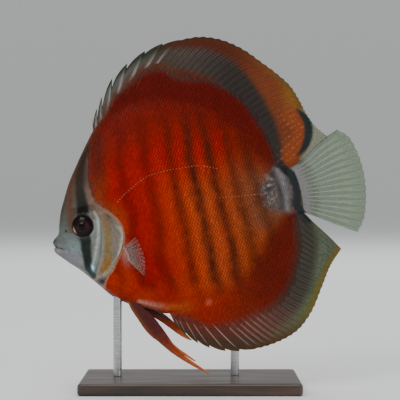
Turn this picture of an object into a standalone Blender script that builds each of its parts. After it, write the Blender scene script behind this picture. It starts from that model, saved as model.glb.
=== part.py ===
"""A life-size display model of a discus fish, swimming head slightly down over a plain stand.

The fish is drawn in its own frame, in millimetres: u runs back from the snout along the
body, y runs across it, and v runs up. An empty then pitches the fish and lifts it to its
height above the base. The fish's left side faces -Y and its head points to -X.
"""

import math

import bmesh
import bpy
import numpy as np

MM = 0.001

# Pose and clearances
PITCH_DEG = 12.7
SNOUT_X = -78.9
SNOUT_HEIGHT = 73.7
GAP = 0.3

# Where the trunk ends and the tail stalk begins
STALK_START = 114.5

# Outlines of the body from the side, as (u, v)
FOREHEAD = [(-0.3, 1.1), (2.2, 3.3), (4.5, 8.4), (6.3, 14.2), (8.8, 20.4), (12.3, 26.9),
            (19.3, 36.9), (26.1, 44.6)]
NAPE = [(26.1, 44.6), (28.6, 47.6), (31.3, 51.0)]
DORSAL_BASE = [(31.3, 51.0), (36.5, 54.9), (44.0, 58.6), (55.4, 60.9), (68.0, 59.7), (82.6, 54.8),
               (94.0, 48.0), (104.0, 37.2), (110.0, 25.9), (114.5, 17.0)]
STALK_TOP = [(114.5, 17.0), (118.5, 12.4), (122.0, 11.0), (125.0, 10.9)]
MOUTH = [(0.1, -4.9), (0.3, -3.4), (1.0, -2.2), (0.1, -0.8), (-0.3, 1.1)]
THROAT = [(0.1, -4.9), (5.0, -10.9), (9.6, -15.6), (13.7, -20.6), (18.2, -26.4)]
BELLY = [(18.2, -26.4), (22.3, -31.8), (29.5, -37.6), (39.8, -42.9), (49.1, -47.6)]
ANAL_BASE = [(49.1, -47.6), (58.0, -47.6), (70.0, -46.4), (82.0, -43.2), (93.0, -37.5),
             (104.1, -28.1), (114.5, -18.2)]
STALK_BOTTOM = [(114.5, -18.2), (118.8, -14.4), (122.9, -12.2), (126.4, -12.3)]
STALK_END = [(126.4, -12.3), (127.3, -6.0), (127.2, 1.0), (126.2, 6.5), (125.0, 10.9)]
GILL_FRONT = [(17.9, -19.8), (19.8, -15.2), (22.6, -8.3), (24.8, -1.2), (25.6, 4.8), (25.3, 9.6)]
GILL_REAR = [(20.2, -23.0), (22.4, -20.4), (25.7, -17.8), (30.2, -14.1), (33.4, -9.6),
             (35.3, -4.8), (35.4, -0.2), (33.7, 4.9), (30.4, 8.9), (27.2, 11.5)]
GILL_MARGIN = [(18.2, -26.4), (21.2, -21.6), (25.7, -17.8), (30.2, -14.1), (33.4, -9.6),
               (35.3, -4.8), (35.4, -0.2), (33.7, 4.9), (30.4, 8.9), (26.4, 12.3),
               (23.6, 17.6), (23.0, 24.5), (24.1, 34.5), (26.1, 44.6)]

# Where a ray that leaves the base at a share of its length meets the margin
DORSAL_LEAN = [(0.0, 0.0), (0.10, 0.14), (0.223, 0.357), (0.45, 0.60), (0.7, 0.83), (1.0, 1.0)]
ANAL_LEAN = [(0.0, 0.0), (0.06, 0.14), (0.14, 0.27), (0.27, 0.42), (0.5, 0.64), (0.8, 0.91), (1.0, 1.0)]
RAY_BOW = 1.4

# Outlines of the fins, as (u, v)
DORSAL_MARGIN = [(32.4, 57.4), (35.8, 61.8), (39.6, 67.1), (46.6, 74.9), (55.7, 80.7),
                 (64.9, 84.6), (74.5, 86.6), (85.0, 86.6), (94.9, 85.9), (103.8, 82.7),
                 (113.5, 76.0), (122.7, 66.1), (129.0, 58.7), (134.0, 51.4), (136.8, 43.6),
                 (139.3, 34.6), (142.4, 28.4), (146.4, 24.6)]
DORSAL_LAST_RAY = [(125.0, 10.9), (129.3, 17.0), (136.3, 21.8), (146.4, 24.6)]
ANAL_MARGIN = [(50.3, -53.0), (54.4, -59.9), (59.7, -65.5), (70.8, -71.9), (82.2, -74.4),
               (91.0, -74.8), (100.6, -73.7), (110.5, -70.3), (119.2, -62.9), (126.8, -52.3),
               (134.4, -41.4), (141.1, -34.9)]
ANAL_LAST_RAY = [(126.4, -12.3), (130.4, -18.8), (135.6, -26.2), (141.1, -34.9)]
TAIL_MARGIN = [(151.5, -28.4), (155.6, -23.2), (159.2, -13.6), (160.9, -4.0), (161.1, 4.0),
               (159.9, 13.0), (157.2, 20.5), (152.6, 24.6)]
TAIL_TOP_RAY = [(125.0, 10.9), (131.6, 13.6), (141.5, 20.0), (152.6, 24.6)]
TAIL_BOTTOM_RAY = [(126.4, -12.3), (133.0, -16.6), (142.5, -23.0), (151.5, -28.4)]
PELVIC_LEFT_FRONT = [(29.9, -37.9), (31.6, -44.6), (34.5, -51.0), (38.5, -57.6), (43.1, -62.8),
                     (51.0, -70.6), (62.9, -81.4)]
PELVIC_LEFT_REAR = [(35.3, -40.6), (39.1, -45.4), (42.2, -50.6), (45.0, -56.4), (47.0, -60.6),
                    (53.0, -69.2), (62.9, -81.4)]
PELVIC_RIGHT_FRONT = [(31.0, -38.5), (36.5, -44.0), (42.4, -50.2), (48.5, -57.2), (56.9, -63.9)]
PELVIC_RIGHT_REAR = [(36.4, -41.2), (42.4, -44.6), (47.9, -50.2), (52.6, -56.6), (56.9, -63.9)]

# Half thickness of the body along its length, and the level where it is thickest
HALF_WIDTHS = [(-0.6, 2.3), (2.0, 3.9), (8.0, 5.7), (16.0, 7.6), (26.0, 9.6), (36.0, 10.6),
               (48.0, 10.7), (62.0, 9.9), (80.0, 8.3), (98.0, 6.3), (112.0, 4.6), (127.5, 3.0)]
WIDEST_LEVELS = [(-0.6, -1.8), (10.0, -1.0), (22.0, -2.0), (36.0, -4.0), (60.0, -2.0),
                 (100.0, 0.0), (127.5, -0.7)]
RIM_HALF = 0.6
FIN_ROOT_HALF = 1.7
STALK_END_HALF = 2.0
FIN_EDGE_HALF = 0.27

# Fin rays: the stiff spines in front, then the soft rays, and the height of their ridges
DORSAL_SPINES = 9
DORSAL_SOFT = 28
DORSAL_SPINY_SHARE = 0.27
DORSAL_NOTCH = 3.2
ANAL_SPINES = 8
ANAL_SOFT = 26
ANAL_SPINY_SHARE = 0.20
ANAL_NOTCH = 1.5
SPINE_SPREAD = 1.2
TAIL_RAYS = 16
PECTORAL_RAYS = 11
PELVIC_RAYS = 5
SPINE_RIDGE = 0.34
SOFT_RIDGE = 0.20
FIN_ROWS = 6

# Eye, as a ball set in a socket with a low rim
EYE_PLACE = (16.2, 5.2)
EYE_RADIUS = 5.3
EYE_TURN_DEG = 11.0
EYE_DEPTH = 3.2
EYE_DOME = 1.5
EYE_SIDES = 24
SOCKET_RIM = 0.35

# Mouth: the line of the closed lips from front to corner, its groove and the lips beside it
MOUTH_FRONT = (0.6, -2.3)
MOUTH_CORNER = (5.4, -5.0)
MOUTH_GROOVE = 0.8
LIP_HEIGHT = 0.55
NOSTRIL_PLACE = (7.3, 4.6)
NOSTRIL_RADIUS = 0.5
NOSTRIL_DEPTH = 1.2

# Gill cover: a flap over a recess in the head, a little proud of it along its rear margin
COVER_INSET = 0.7
RECESS_GAP = 0.45
COVER_FRONT_RAISE = 0.1
COVER_REAR_RAISE = 0.55

# Paired fins
PECTORAL_ROOT = [(34.6, -9.6), (35.6, -13.2), (35.9, -17.2)]
PECTORAL_LENGTH = 20.0
PECTORAL_SWING_DEG = 66.0
PECTORAL_UPPER_DEG = 12.0
PECTORAL_LOWER_DEG = -30.0
PECTORAL_DROOP = 2.2
PECTORAL_ROOT_HALF = 0.8
PELVIC_SIDE = 2.2
PELVIC_ROOT_HALF = 0.8
PELVIC_SPLAY = 3.4

# Stand
BASE_LENGTH = 110.0
BASE_WIDTH = 70.0
BASE_HEIGHT = 6.0
BASE_CENTRE_X = -10.0
BASE_EDGE = 1.6
ROD_RADIUS = 2.2
ROD_SIDES = 20
FRONT_ROD_X = -47.0
REAR_ROD_X = 12.6
REAR_ROD_Y = 5.2


class Line:
    """A smooth line through a few points, read by the share of its length."""

    def __init__(self, points, steps=20):
        points = np.array(points, dtype=float)
        knots = np.concatenate(([0.0], np.cumsum(np.linalg.norm(np.diff(points, axis=0), axis=1))))
        slopes = np.gradient(points, knots, axis=0)
        dense = []
        for i in range(len(points) - 1):
            span = knots[i + 1] - knots[i]
            for step in range(steps):
                t = step / steps
                dense.append((2 * t ** 3 - 3 * t ** 2 + 1) * points[i]
                             + (t ** 3 - 2 * t ** 2 + t) * span * slopes[i]
                             + (3 * t ** 2 - 2 * t ** 3) * points[i + 1]
                             + (t ** 3 - t ** 2) * span * slopes[i + 1])
        dense.append(points[-1])
        self.dense = np.array(dense)
        lengths = np.linalg.norm(np.diff(self.dense, axis=0), axis=1)
        self.length = lengths.sum()
        self.shares = np.concatenate(([0.0], np.cumsum(lengths))) / self.length

    def at(self, share):
        columns = [np.interp(share, self.shares, column) for column in self.dense.T]
        return np.stack(columns, axis=-1)

    def value(self, first):
        """The second coordinate as a function of the first."""
        return np.interp(first, self.dense[:, 0], self.dense[:, 1])


def joined(*lines):
    """One line through the points of several that follow each other."""
    points = list(lines[0])
    for line in lines[1:]:
        points += line[1:]
    return Line(points)


def blend(value, low, high):
    """0 below low, 1 above high and smooth between."""
    t = np.clip((value - low) / (high - low), 0.0, 1.0)
    return t * t * (3.0 - 2.0 * t)


BACK_LINE = joined(FOREHEAD, NAPE, DORSAL_BASE, STALK_TOP)
UNDER_LINE = joined(THROAT, BELLY, ANAL_BASE, STALK_BOTTOM)
WIDTH_LINE = Line(HALF_WIDTHS)
LEVEL_LINE = Line(WIDEST_LEVELS)


def rim_half(u, upper):
    """Half thickness of the body at its edge: thin on the forehead and belly, wider under a fin."""
    start = DORSAL_BASE[0][0] if upper else ANAL_BASE[0][0]
    under_fin = blend(u, start - 3.0, start + 12.0) * (1.0 - blend(u, 112.0, 120.0) * 0.35)
    return RIM_HALF + (FIN_ROOT_HALF - RIM_HALF) * under_fin


def body_half(u, v):
    """Half thickness of the body at a point seen from the side."""
    top = BACK_LINE.value(u)
    bottom = UNDER_LINE.value(u)
    level = LEVEL_LINE.value(u)
    width = WIDTH_LINE.value(u)
    upper = v > level
    reach = np.where(upper, (v - level) / (top - level), (level - v) / (level - bottom))
    reach = np.clip(reach, 0.0, 1.0)
    hollow = np.where(upper, 0.52 + 0.22 * blend(u, 12.0, 45.0), 0.50 + 0.18 * blend(u, 30.0, 70.0))
    hollow = hollow - 0.22 * blend(u, 108.0, 124.0)
    lens = width * (1.0 - reach ** 2.1) ** hollow
    rim = np.where(upper, rim_half(u, True), rim_half(u, False))
    return np.sqrt(lens ** 2 + rim ** 2 * (1.0 - np.minimum(lens / width, 1.0) ** 2))


def eased(count, amount):
    """Shares from 0 to 1, drawn closer together at both ends by the amount."""
    even = np.linspace(0.0, 1.0, count)
    cosine = 0.5 - 0.5 * np.cos(math.pi * even)
    return even + (cosine - even) * amount


def patch(low, high, start, end, along, across):
    """Grid over four lines: low and high run along it, start and end join low to high.

    along and across are shares of the way, in a row each or as grids of one shape.
    """
    if np.ndim(along) == 1:
        along = np.asarray(along)[:, None]
    along, across = np.broadcast_arrays(along, across)
    s = along[..., None]
    t = across[..., None]
    sides = ((1 - t) * low.at(along) + t * high.at(along)
             + (1 - s) * start.at(across) + s * end.at(across))
    corners = ((1 - s) * (1 - t) * low.at(0.0) + s * (1 - t) * low.at(1.0)
               + (1 - s) * t * high.at(0.0) + s * t * high.at(1.0))
    return sides - corners


def two_sides(grid, half, middle=0.0):
    """Near and far faces of a plate: the grid in (u, v), its half thickness and its middle y."""
    near = np.stack([grid[..., 0], middle - half, grid[..., 1]], axis=-1)
    far = np.stack([grid[..., 0], middle + half, grid[..., 1]], axis=-1)
    return near, far


def slab(near, far, bulges=None):
    """Close two like grids into one body, split alike on both faces.

    The rim has a line of points along its middle. bulges gives, for the edges named low,
    high, start and end, how far that line stands out, in millimetres.
    """
    rows, columns = near.shape[:2]
    count = rows * columns
    index = np.arange(count).reshape(rows, columns)
    faces = []
    for i in range(rows - 1):
        for j in range(columns - 1):
            a, b, c, d = index[i, j], index[i + 1, j], index[i + 1, j + 1], index[i, j + 1]
            split = ((a, b, c), (a, c, d)) if (i + j) % 2 == 0 else ((a, b, d), (b, c, d))
            for face in split:
                faces.append(face)
                faces.append(tuple(k + count for k in reversed(face)))
    middle = (near + far) * 0.5
    ring = [(i, 0, i, 1, "low", i) for i in range(rows - 1)]
    ring += [(rows - 1, j, rows - 2, j, "end", j) for j in range(columns - 1)]
    ring += [(i, columns - 1, i, columns - 2, "high", i) for i in range(rows - 1, 0, -1)]
    ring += [(0, j, 1, j, "start", j) for j in range(columns - 1, 0, -1)]
    rim_points = []
    for i, j, inner_i, inner_j, edge, place in ring:
        outward = middle[i, j] - middle[inner_i, inner_j]
        outward /= max(np.linalg.norm(outward), 1e-9)
        bulge = 0.0 if not bulges or edge not in bulges else np.broadcast_to(
            bulges[edge], (max(rows, columns),))[place]
        rim_points.append(middle[i, j] + outward * bulge)
    vertices = np.concatenate([near.reshape(-1, 3), far.reshape(-1, 3), np.array(rim_points)])
    for k, (i, j, *_rest) in enumerate(ring):
        following = (k + 1) % len(ring)
        a, b = index[i, j], index[ring[following][0], ring[following][1]]
        m, n = 2 * count + k, 2 * count + following
        faces += [(b, a, m), (b, m, n), (b + count, n, m), (b + count, m, a + count)]
    return vertices, faces


def material(name, colour, roughness):
    """A Principled material of one colour."""
    made = bpy.data.materials.new(name)
    made.use_nodes = True
    shader = made.node_tree.nodes["Principled BSDF"]
    shader.inputs["Base Color"].default_value = (*colour, 1.0)
    shader.inputs["Roughness"].default_value = roughness
    shader.inputs["Metallic"].default_value = 0.0
    made.diffuse_color = (*colour, 1.0)
    return made


def closed_object(name, vertices, faces, surface, parent=None):
    """An object in metres from points in millimetres, with its faces pointing out."""
    mesh = bpy.data.meshes.new(name)
    mesh.from_pydata((np.asarray(vertices) * MM).tolist(), [], [list(map(int, f)) for f in faces])
    shape = bmesh.new()
    shape.from_mesh(mesh)
    bmesh.ops.recalc_face_normals(shape, faces=shape.faces)
    shape.to_mesh(mesh)
    shape.free()
    mesh.shade_smooth()
    mesh.set_sharp_from_angle(angle=math.radians(38.0))
    mesh.materials.append(surface)
    made = bpy.data.objects.new(name, mesh)
    bpy.context.collection.objects.link(made)
    made.parent = parent
    return made


def keep_largest(target):
    """Leave only the largest closed surface of an object's mesh."""
    shape = bmesh.new()
    shape.from_mesh(target.data)
    waiting = set(shape.faces)
    groups = []
    while waiting:
        seed = waiting.pop()
        group = {seed}
        edge_of_group = [seed]
        while edge_of_group:
            face = edge_of_group.pop()
            for edge in face.edges:
                for neighbour in edge.link_faces:
                    if neighbour in waiting:
                        waiting.discard(neighbour)
                        group.add(neighbour)
                        edge_of_group.append(neighbour)
        groups.append(group)
    groups.sort(key=lambda group: sum(face.calc_area() for face in group))
    dropped = [face for group in groups[:-1] for face in group]
    bmesh.ops.delete(shape, geom=dropped, context="FACES")
    shape.to_mesh(target.data)
    shape.free()


def cut(target, cutters):
    """Cut the closed cutters out of the target, apply it and remove them."""
    group = bpy.data.collections.new("cutters")
    bpy.context.scene.collection.children.link(group)
    for cutter in cutters:
        bpy.context.collection.objects.unlink(cutter)
        group.objects.link(cutter)
    modifier = target.modifiers.new("cut", "BOOLEAN")
    modifier.operation = "DIFFERENCE"
    modifier.operand_type = "COLLECTION"
    modifier.collection = group
    modifier.solver = "EXACT"
    bpy.context.view_layer.update()
    view = target.evaluated_get(bpy.context.evaluated_depsgraph_get())
    result = bpy.data.meshes.new_from_object(view)
    target.modifiers.clear()
    target.data = result
    for cutter in cutters:
        bpy.data.objects.remove(cutter)
    bpy.data.collections.remove(group)
    keep_largest(target)


def turned(profile, sides):
    """Points and faces of a shape turned about the y axis from (radius, y) pairs, closed at both ends."""
    vertices = []
    faces = []
    rings = []
    for radius, y in profile:
        if radius == 0.0:
            rings.append([len(vertices)])
            vertices.append((0.0, y, 0.0))
            continue
        rings.append(list(range(len(vertices), len(vertices) + sides)))
        for k in range(sides):
            angle = 2 * math.pi * k / sides
            vertices.append((radius * math.cos(angle), y, radius * math.sin(angle)))
    for ring, following in zip(rings, rings[1:]):
        for k in range(sides):
            a, b = ring[k % len(ring)], ring[(k + 1) % len(ring)]
            c, d = following[(k + 1) % len(following)], following[k % len(following)]
            face = [a, b, c, d]
            faces.append([p for i, p in enumerate(face) if p not in face[:i]])
    return np.array(vertices), faces


def set_on_head(points, place, side):
    """Points about the y axis, set on the head's surface and turned a little forward with it."""
    angle = math.radians(EYE_TURN_DEG)
    seat = float(body_half(*place))
    u, y, v = points.T
    return np.stack([place[0] + u * math.cos(angle) + y * math.sin(angle),
                     side * (seat + u * math.sin(angle) - y * math.cos(angle)),
                     place[1] + v], axis=-1)


def eye_profile(radius, depth, dome):
    """Half section of the eye: a flat back, a straight wall and a shallow dome."""
    steps = 6
    profile = [(0.0, depth), (radius, depth), (radius, 0.0)]
    for step in range(1, steps):
        angle = 0.5 * math.pi * step / steps
        profile.append((radius * math.cos(angle), -dome * math.sin(angle)))
    profile.append((0.0, -dome))
    return profile


def make_eye(name, side, surface, pose):
    """An eye: its dome stands a little proud of the head."""
    points, faces = turned(eye_profile(EYE_RADIUS, EYE_DEPTH, EYE_DOME), EYE_SIDES)
    return closed_object(name, set_on_head(points, EYE_PLACE, side), faces, surface, pose)


def make_socket(side, pose):
    """The cutter of an eye socket, wider and deeper than the eye by the gap."""
    points, faces = turned(eye_profile(EYE_RADIUS + GAP, EYE_DEPTH + GAP, 8.0), EYE_SIDES)
    return closed_object("socket", set_on_head(points, EYE_PLACE, side), faces, None, pose)


def make_nostril(side, pose):
    """The cutter of a nostril: a small pit that narrows inwards."""
    profile = [(0.0, NOSTRIL_DEPTH), (NOSTRIL_RADIUS * 0.6, NOSTRIL_DEPTH),
               (NOSTRIL_RADIUS, 0.0), (NOSTRIL_RADIUS, -2.0), (0.0, -2.0)]
    points, faces = turned(profile, 10)
    return closed_object("nostril", set_on_head(points, NOSTRIL_PLACE, side), faces, None, pose)


def way_to_segment(grid, start, end):
    """Distance of each point of a grid to a straight segment."""
    start, end = np.array(start), np.array(end)
    run = end - start
    share = np.clip(((grid - start) @ run) / (run @ run), 0.0, 1.0)
    return np.linalg.norm(grid - (start + share[..., None] * run), axis=-1)


def head_relief(grid):
    """Height added to the head's sides: the lips, the groove between them and the eye's rim."""
    way = way_to_segment(grid, MOUTH_FRONT, MOUTH_CORNER)
    lips = LIP_HEIGHT * np.exp(-((way - 1.3) / 0.8) ** 2)
    groove = MOUTH_GROOVE * np.exp(-(way / 0.5) ** 2)
    way_to_eye = np.linalg.norm(grid - np.array(EYE_PLACE), axis=-1)
    rim = SOCKET_RIM * np.exp(-((way_to_eye - EYE_RADIUS - 1.0) / 1.1) ** 2)
    return lips - groove + rim


def grown(points, sideways, ends):
    """Points of a line moved sideways, with its two ends drawn out."""
    moved = shifted(points, sideways)
    first = moved[0] - moved[1]
    last = moved[-1] - moved[-2]
    moved[0] += first / np.linalg.norm(first) * ends
    moved[-1] += last / np.linalg.norm(last) * ends
    return moved


def cover_shape(front, rear, under, over, side, counts):
    """Points and faces of a gill cover from its front and rear lines, and its two depths."""
    grid = patch(Line([front[0], rear[0]]), Line([front[-1], rear[-1]]), Line(front), Line(rear),
                 np.linspace(0.0, 1.0, counts[0]), np.linspace(0.0, 1.0, counts[1]))
    half = body_half(grid[..., 0], grid[..., 1])
    rise = np.linspace(0.0, 1.0, counts[0])[:, None]
    inner = side * (half + under)
    outer = side * (half + over[0] + (over[1] - over[0]) * rise)
    near = np.stack([grid[..., 0], inner, grid[..., 1]], axis=-1)
    far = np.stack([grid[..., 0], outer, grid[..., 1]], axis=-1)
    return slab(near, far)


def make_gill_cover(name, side, surface, pose):
    """A gill cover: a thin flap over the rear of the head, free along its rear margin."""
    vertices, faces = cover_shape(GILL_FRONT, GILL_REAR, -COVER_INSET,
                                  (COVER_FRONT_RAISE, COVER_REAR_RAISE), side, (8, 18))
    return closed_object(name, vertices, faces, surface, pose)


def make_cover_recess(side, pose):
    """The cutter of the recess that a gill cover lies in, open behind."""
    front = grown(GILL_FRONT, -GAP, GAP)
    rear = grown(GILL_REAR, 1.2, GAP)
    vertices, faces = cover_shape(front, rear, -COVER_INSET - RECESS_GAP, (4.0, 4.0), side, (9, 22))
    return closed_object("recess", vertices, faces, None, pose)


def make_head(surface, pose):
    """The head, from the lips to the rear margin of the gill covers."""
    grid = patch(Line(THROAT), Line(FOREHEAD), Line(MOUTH), Line(GILL_MARGIN),
                 eased(22, 0.6), eased(33, 0.6))
    half = body_half(grid[..., 0], grid[..., 1]) + head_relief(grid)
    near, far = two_sides(grid, half)
    soft = RIM_HALF * 0.8
    vertices, faces = slab(near, far, {"low": soft, "high": soft, "start": 0.9})
    return closed_object("head", vertices, faces, surface, pose)


def shifted(points, distance):
    """Points of a line moved to its right by a distance, as seen along it."""
    points = np.array(points, dtype=float)
    ahead = np.gradient(points, axis=0)
    ahead /= np.linalg.norm(ahead, axis=1)[:, None]
    return points + np.stack([ahead[:, 1], -ahead[:, 0]], axis=-1) * distance


def cut_line(level):
    """The straight cut between the trunk and the tail stalk, at a distance along the body."""
    return Line([(level, float(UNDER_LINE.value(level))), (level, float(BACK_LINE.value(level)))])


def between(line, first_u, last_u, points=24):
    """The stretch of an outline between two distances along the body."""
    reach = np.linspace(first_u, last_u, points)
    return Line(np.stack([reach, line.value(reach)], axis=-1))


def make_torso(surface, pose):
    """The trunk, from the gill covers to the tail stalk."""
    start = shifted(Line(GILL_MARGIN).at(np.linspace(0.0, 1.0, 60)), GAP)
    start[0] = (start[0, 0], UNDER_LINE.value(start[0, 0]))
    start[-1] = (start[-1, 0], BACK_LINE.value(start[-1, 0]))
    low = between(UNDER_LINE, start[0, 0], STALK_START, 40)
    high = between(BACK_LINE, start[-1, 0], STALK_START, 40)
    grid = patch(low, high, Line(start), cut_line(STALK_START), eased(27, 0.3), eased(22, 0.6))
    half = body_half(grid[..., 0], grid[..., 1])
    near, far = two_sides(grid, half)
    low_round = RIM_HALF * 0.8 * (1.0 - blend(grid[:, 0, 0], 46.0, 50.0))
    high_round = RIM_HALF * 0.8 * (1.0 - blend(grid[:, -1, 0], 29.0, 32.0))
    vertices, faces = slab(near, far, {"low": low_round, "high": high_round})
    return closed_object("torso", vertices, faces, surface, pose)


def make_tail_stalk(surface, pose):
    """The tail stalk, which ends in the face that the tail fin grows from."""
    start = STALK_START + GAP
    low = between(UNDER_LINE, start, STALK_BOTTOM[-1][0])
    high = between(BACK_LINE, start, STALK_TOP[-1][0])
    grid = patch(low, high, cut_line(start), Line(STALK_END), np.linspace(0, 1, 7), eased(12, 0.6))
    half = body_half(grid[..., 0], grid[..., 1])
    close = blend(grid[..., 0], 118.0, 127.0)
    half = half + (np.minimum(half, STALK_END_HALF) - half) * close
    near, far = two_sides(grid, half)
    vertices, faces = slab(near, far)
    return closed_object("tail_stalk", vertices, faces, surface, pose)


def fin_half(across, root_half):
    """Half thickness of a fin's membrane from its fleshy root to its edge."""
    return FIN_EDGE_HALF + (root_half - FIN_EDGE_HALF) * (1.0 - across) ** 1.6


def ray_columns(spines, soft, spiny_share, notch):
    """Shares along a fin of its spines, rays and the skin between, with ridges and notches.

    The skin is notched close behind each spine and bulges in front of the next one.
    """
    shares, ridges, notches = [], [], []
    for k in range(spines):
        start = spiny_share * (k / spines) ** SPINE_SPREAD
        size = spiny_share * ((k + 1) / spines) ** SPINE_SPREAD - start
        depth = notch * (1.0 - 0.75 * k / spines)
        for place, ridge, cut_back in ((0.0, SPINE_RIDGE, 0.0), (0.2, 0.0, depth),
                                       (0.6, 0.0, depth * 0.25)):
            shares.append(start + place * size)
            ridges.append(ridge)
            notches.append(cut_back)
    for k in range(soft):
        for place, ridge in ((0.0, SOFT_RIDGE), (0.5, 0.0)):
            shares.append(spiny_share + (1.0 - spiny_share) * (k + place) / (soft - 0.5))
            ridges.append(ridge)
            notches.append(0.0)
    return np.array(shares[:-1] + [1.0]), np.array(ridges[:-1] + [SOFT_RIDGE]), np.array(notches)


def ridge_height(ridges, across):
    """Height of the ray ridges, which rise out of the fleshy root and stay to the edge."""
    return ridges[:, None] * blend(across[None, :], 0.02, 0.45)


def make_median_fin(name, base, margin, last_ray, lean, root_half, outward, rays, notch,
                    surface, pose, sway):
    """The dorsal or anal fin: a plate with raised rays from the body's edge to the margin."""
    low = Line(shifted(Line(base).at(np.linspace(0, 1, 40)), outward))
    high = Line(margin)
    along, ridges, notches = ray_columns(*rays, notch)
    across = np.linspace(0.0, 1.0, FIN_ROWS)
    lengths = np.linalg.norm(high.at(lean(along)) - low.at(along), axis=1)
    reach = across[None, :] * (1.0 - np.minimum(notches / lengths, 0.5))[:, None]
    swept = along[:, None] + (lean(along) - along)[:, None] * reach ** RAY_BOW
    grid = patch(low, high, Line([low.at(0.0), margin[0]]), Line([tuple(low.at(1.0)), *last_ray[1:]]),
                 swept, reach)
    half = fin_half(across[None, :], root_half(grid[:, :1, 0])) + ridge_height(ridges, across)
    middle = sway * across[None, :] ** 2 * blend(grid[..., 0], 70.0, 140.0)
    near, far = two_sides(grid, half, middle)
    edge = FIN_EDGE_HALF * 0.7
    vertices, faces = slab(near, far, {"high": edge, "start": edge, "end": edge})
    return closed_object(name, vertices, faces, surface, pose)


def make_dorsal_fin(surface, pose):
    """The dorsal fin, from the nape to the tail stalk."""
    base = DORSAL_BASE + STALK_TOP[1:]
    lean = Line(DORSAL_LEAN)
    rays = (DORSAL_SPINES, DORSAL_SOFT, DORSAL_SPINY_SHARE)
    return make_median_fin("dorsal_fin", base, DORSAL_MARGIN, DORSAL_LAST_RAY, lean.value,
                           lambda u: rim_half(u, True), -GAP, rays, DORSAL_NOTCH, surface, pose, -1.5)


def make_anal_fin(surface, pose):
    """The anal fin, from the belly to the tail stalk."""
    base = ANAL_BASE + STALK_BOTTOM[1:]
    lean = Line(ANAL_LEAN)
    rays = (ANAL_SPINES, ANAL_SOFT, ANAL_SPINY_SHARE)
    return make_median_fin("anal_fin", base, ANAL_MARGIN, ANAL_LAST_RAY, lean.value,
                           lambda u: rim_half(u, False), GAP, rays, ANAL_NOTCH, surface, pose, -1.2)


def make_tail_fin(surface, pose):
    """The tail fin, a fan of rays from the end of the tail stalk."""
    root = Line(shifted(Line(STALK_END).at(np.linspace(0, 1, 20)), GAP))
    bottom_ray = Line([tuple(root.at(0.0)), *TAIL_BOTTOM_RAY[1:]])
    top_ray = Line([tuple(root.at(1.0)), *TAIL_TOP_RAY[1:]])
    along = np.linspace(0.0, 1.0, 2 * TAIL_RAYS - 1)
    ridges = SOFT_RIDGE * (np.arange(2 * TAIL_RAYS - 1) % 2 == 0)
    across = np.linspace(0.0, 1.0, FIN_ROWS)
    grid = patch(root, Line(TAIL_MARGIN), bottom_ray, top_ray, along, across)
    half = fin_half(across[None, :], STALK_END_HALF - 0.3) + ridge_height(ridges, across)
    middle = 2.0 * blend(grid[..., 0], 126.0, 164.0)
    near, far = two_sides(grid, half, middle)
    edge = FIN_EDGE_HALF * 0.7
    vertices, faces = slab(near, far, {"high": edge, "start": edge, "end": edge})
    return closed_object("tail_fin", vertices, faces, surface, pose)


def belly_level(u, side_distance):
    """Level of the underside of the body at a distance out from the middle plane."""
    low = UNDER_LINE.value(u)
    high = LEVEL_LINE.value(u)
    for _step in range(40):
        level = (low + high) * 0.5
        outside = body_half(u, level) < side_distance
        low, high = np.where(outside, level, low), np.where(outside, high, level)
    return (low + high) * 0.5


def make_pelvic_fin(name, side, front, rear, surface, pose):
    """A pelvic fin: a rayed blade that narrows to a long tip and hangs from the belly."""
    front_line, rear_line = Line(front), Line(rear)
    along = np.linspace(0.0, 1.0, 12)
    across = np.linspace(0.0, 1.0, 2 * PELVIC_RAYS + 1)
    ridges = SOFT_RIDGE * (np.arange(2 * PELVIC_RAYS + 1) % 2 == 0)
    front_points = front_line.at(along)[:, None, :]
    rear_points = rear_line.at(along)[:, None, :]
    grid = front_points + (rear_points - front_points) * across[None, :, None]
    tip_width = np.outer(across - 0.5, (1.0, 0.6))
    grid[-1] = front_points[-1] + tip_width
    closing = blend(along, 0.35, 1.0)[:, None]
    half = fin_half(along, PELVIC_ROOT_HALF)[:, None] + ridges[None, :] * (1.0 - closing)
    middle = side * (PELVIC_SIDE + PELVIC_SPLAY * blend(along, 0.0, 0.8)[:, None]) + 0.0 * half
    near, far = two_sides(grid, half, middle)
    for face in (near, far):
        face[0, :, 2] = belly_level(face[0, :, 0], np.abs(face[0, :, 1])) - GAP
    vertices, faces = slab(near, far, {"low": 0.2, "high": 0.2, "end": 0.2})
    return closed_object(name, vertices, faces, surface, pose)


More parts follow.
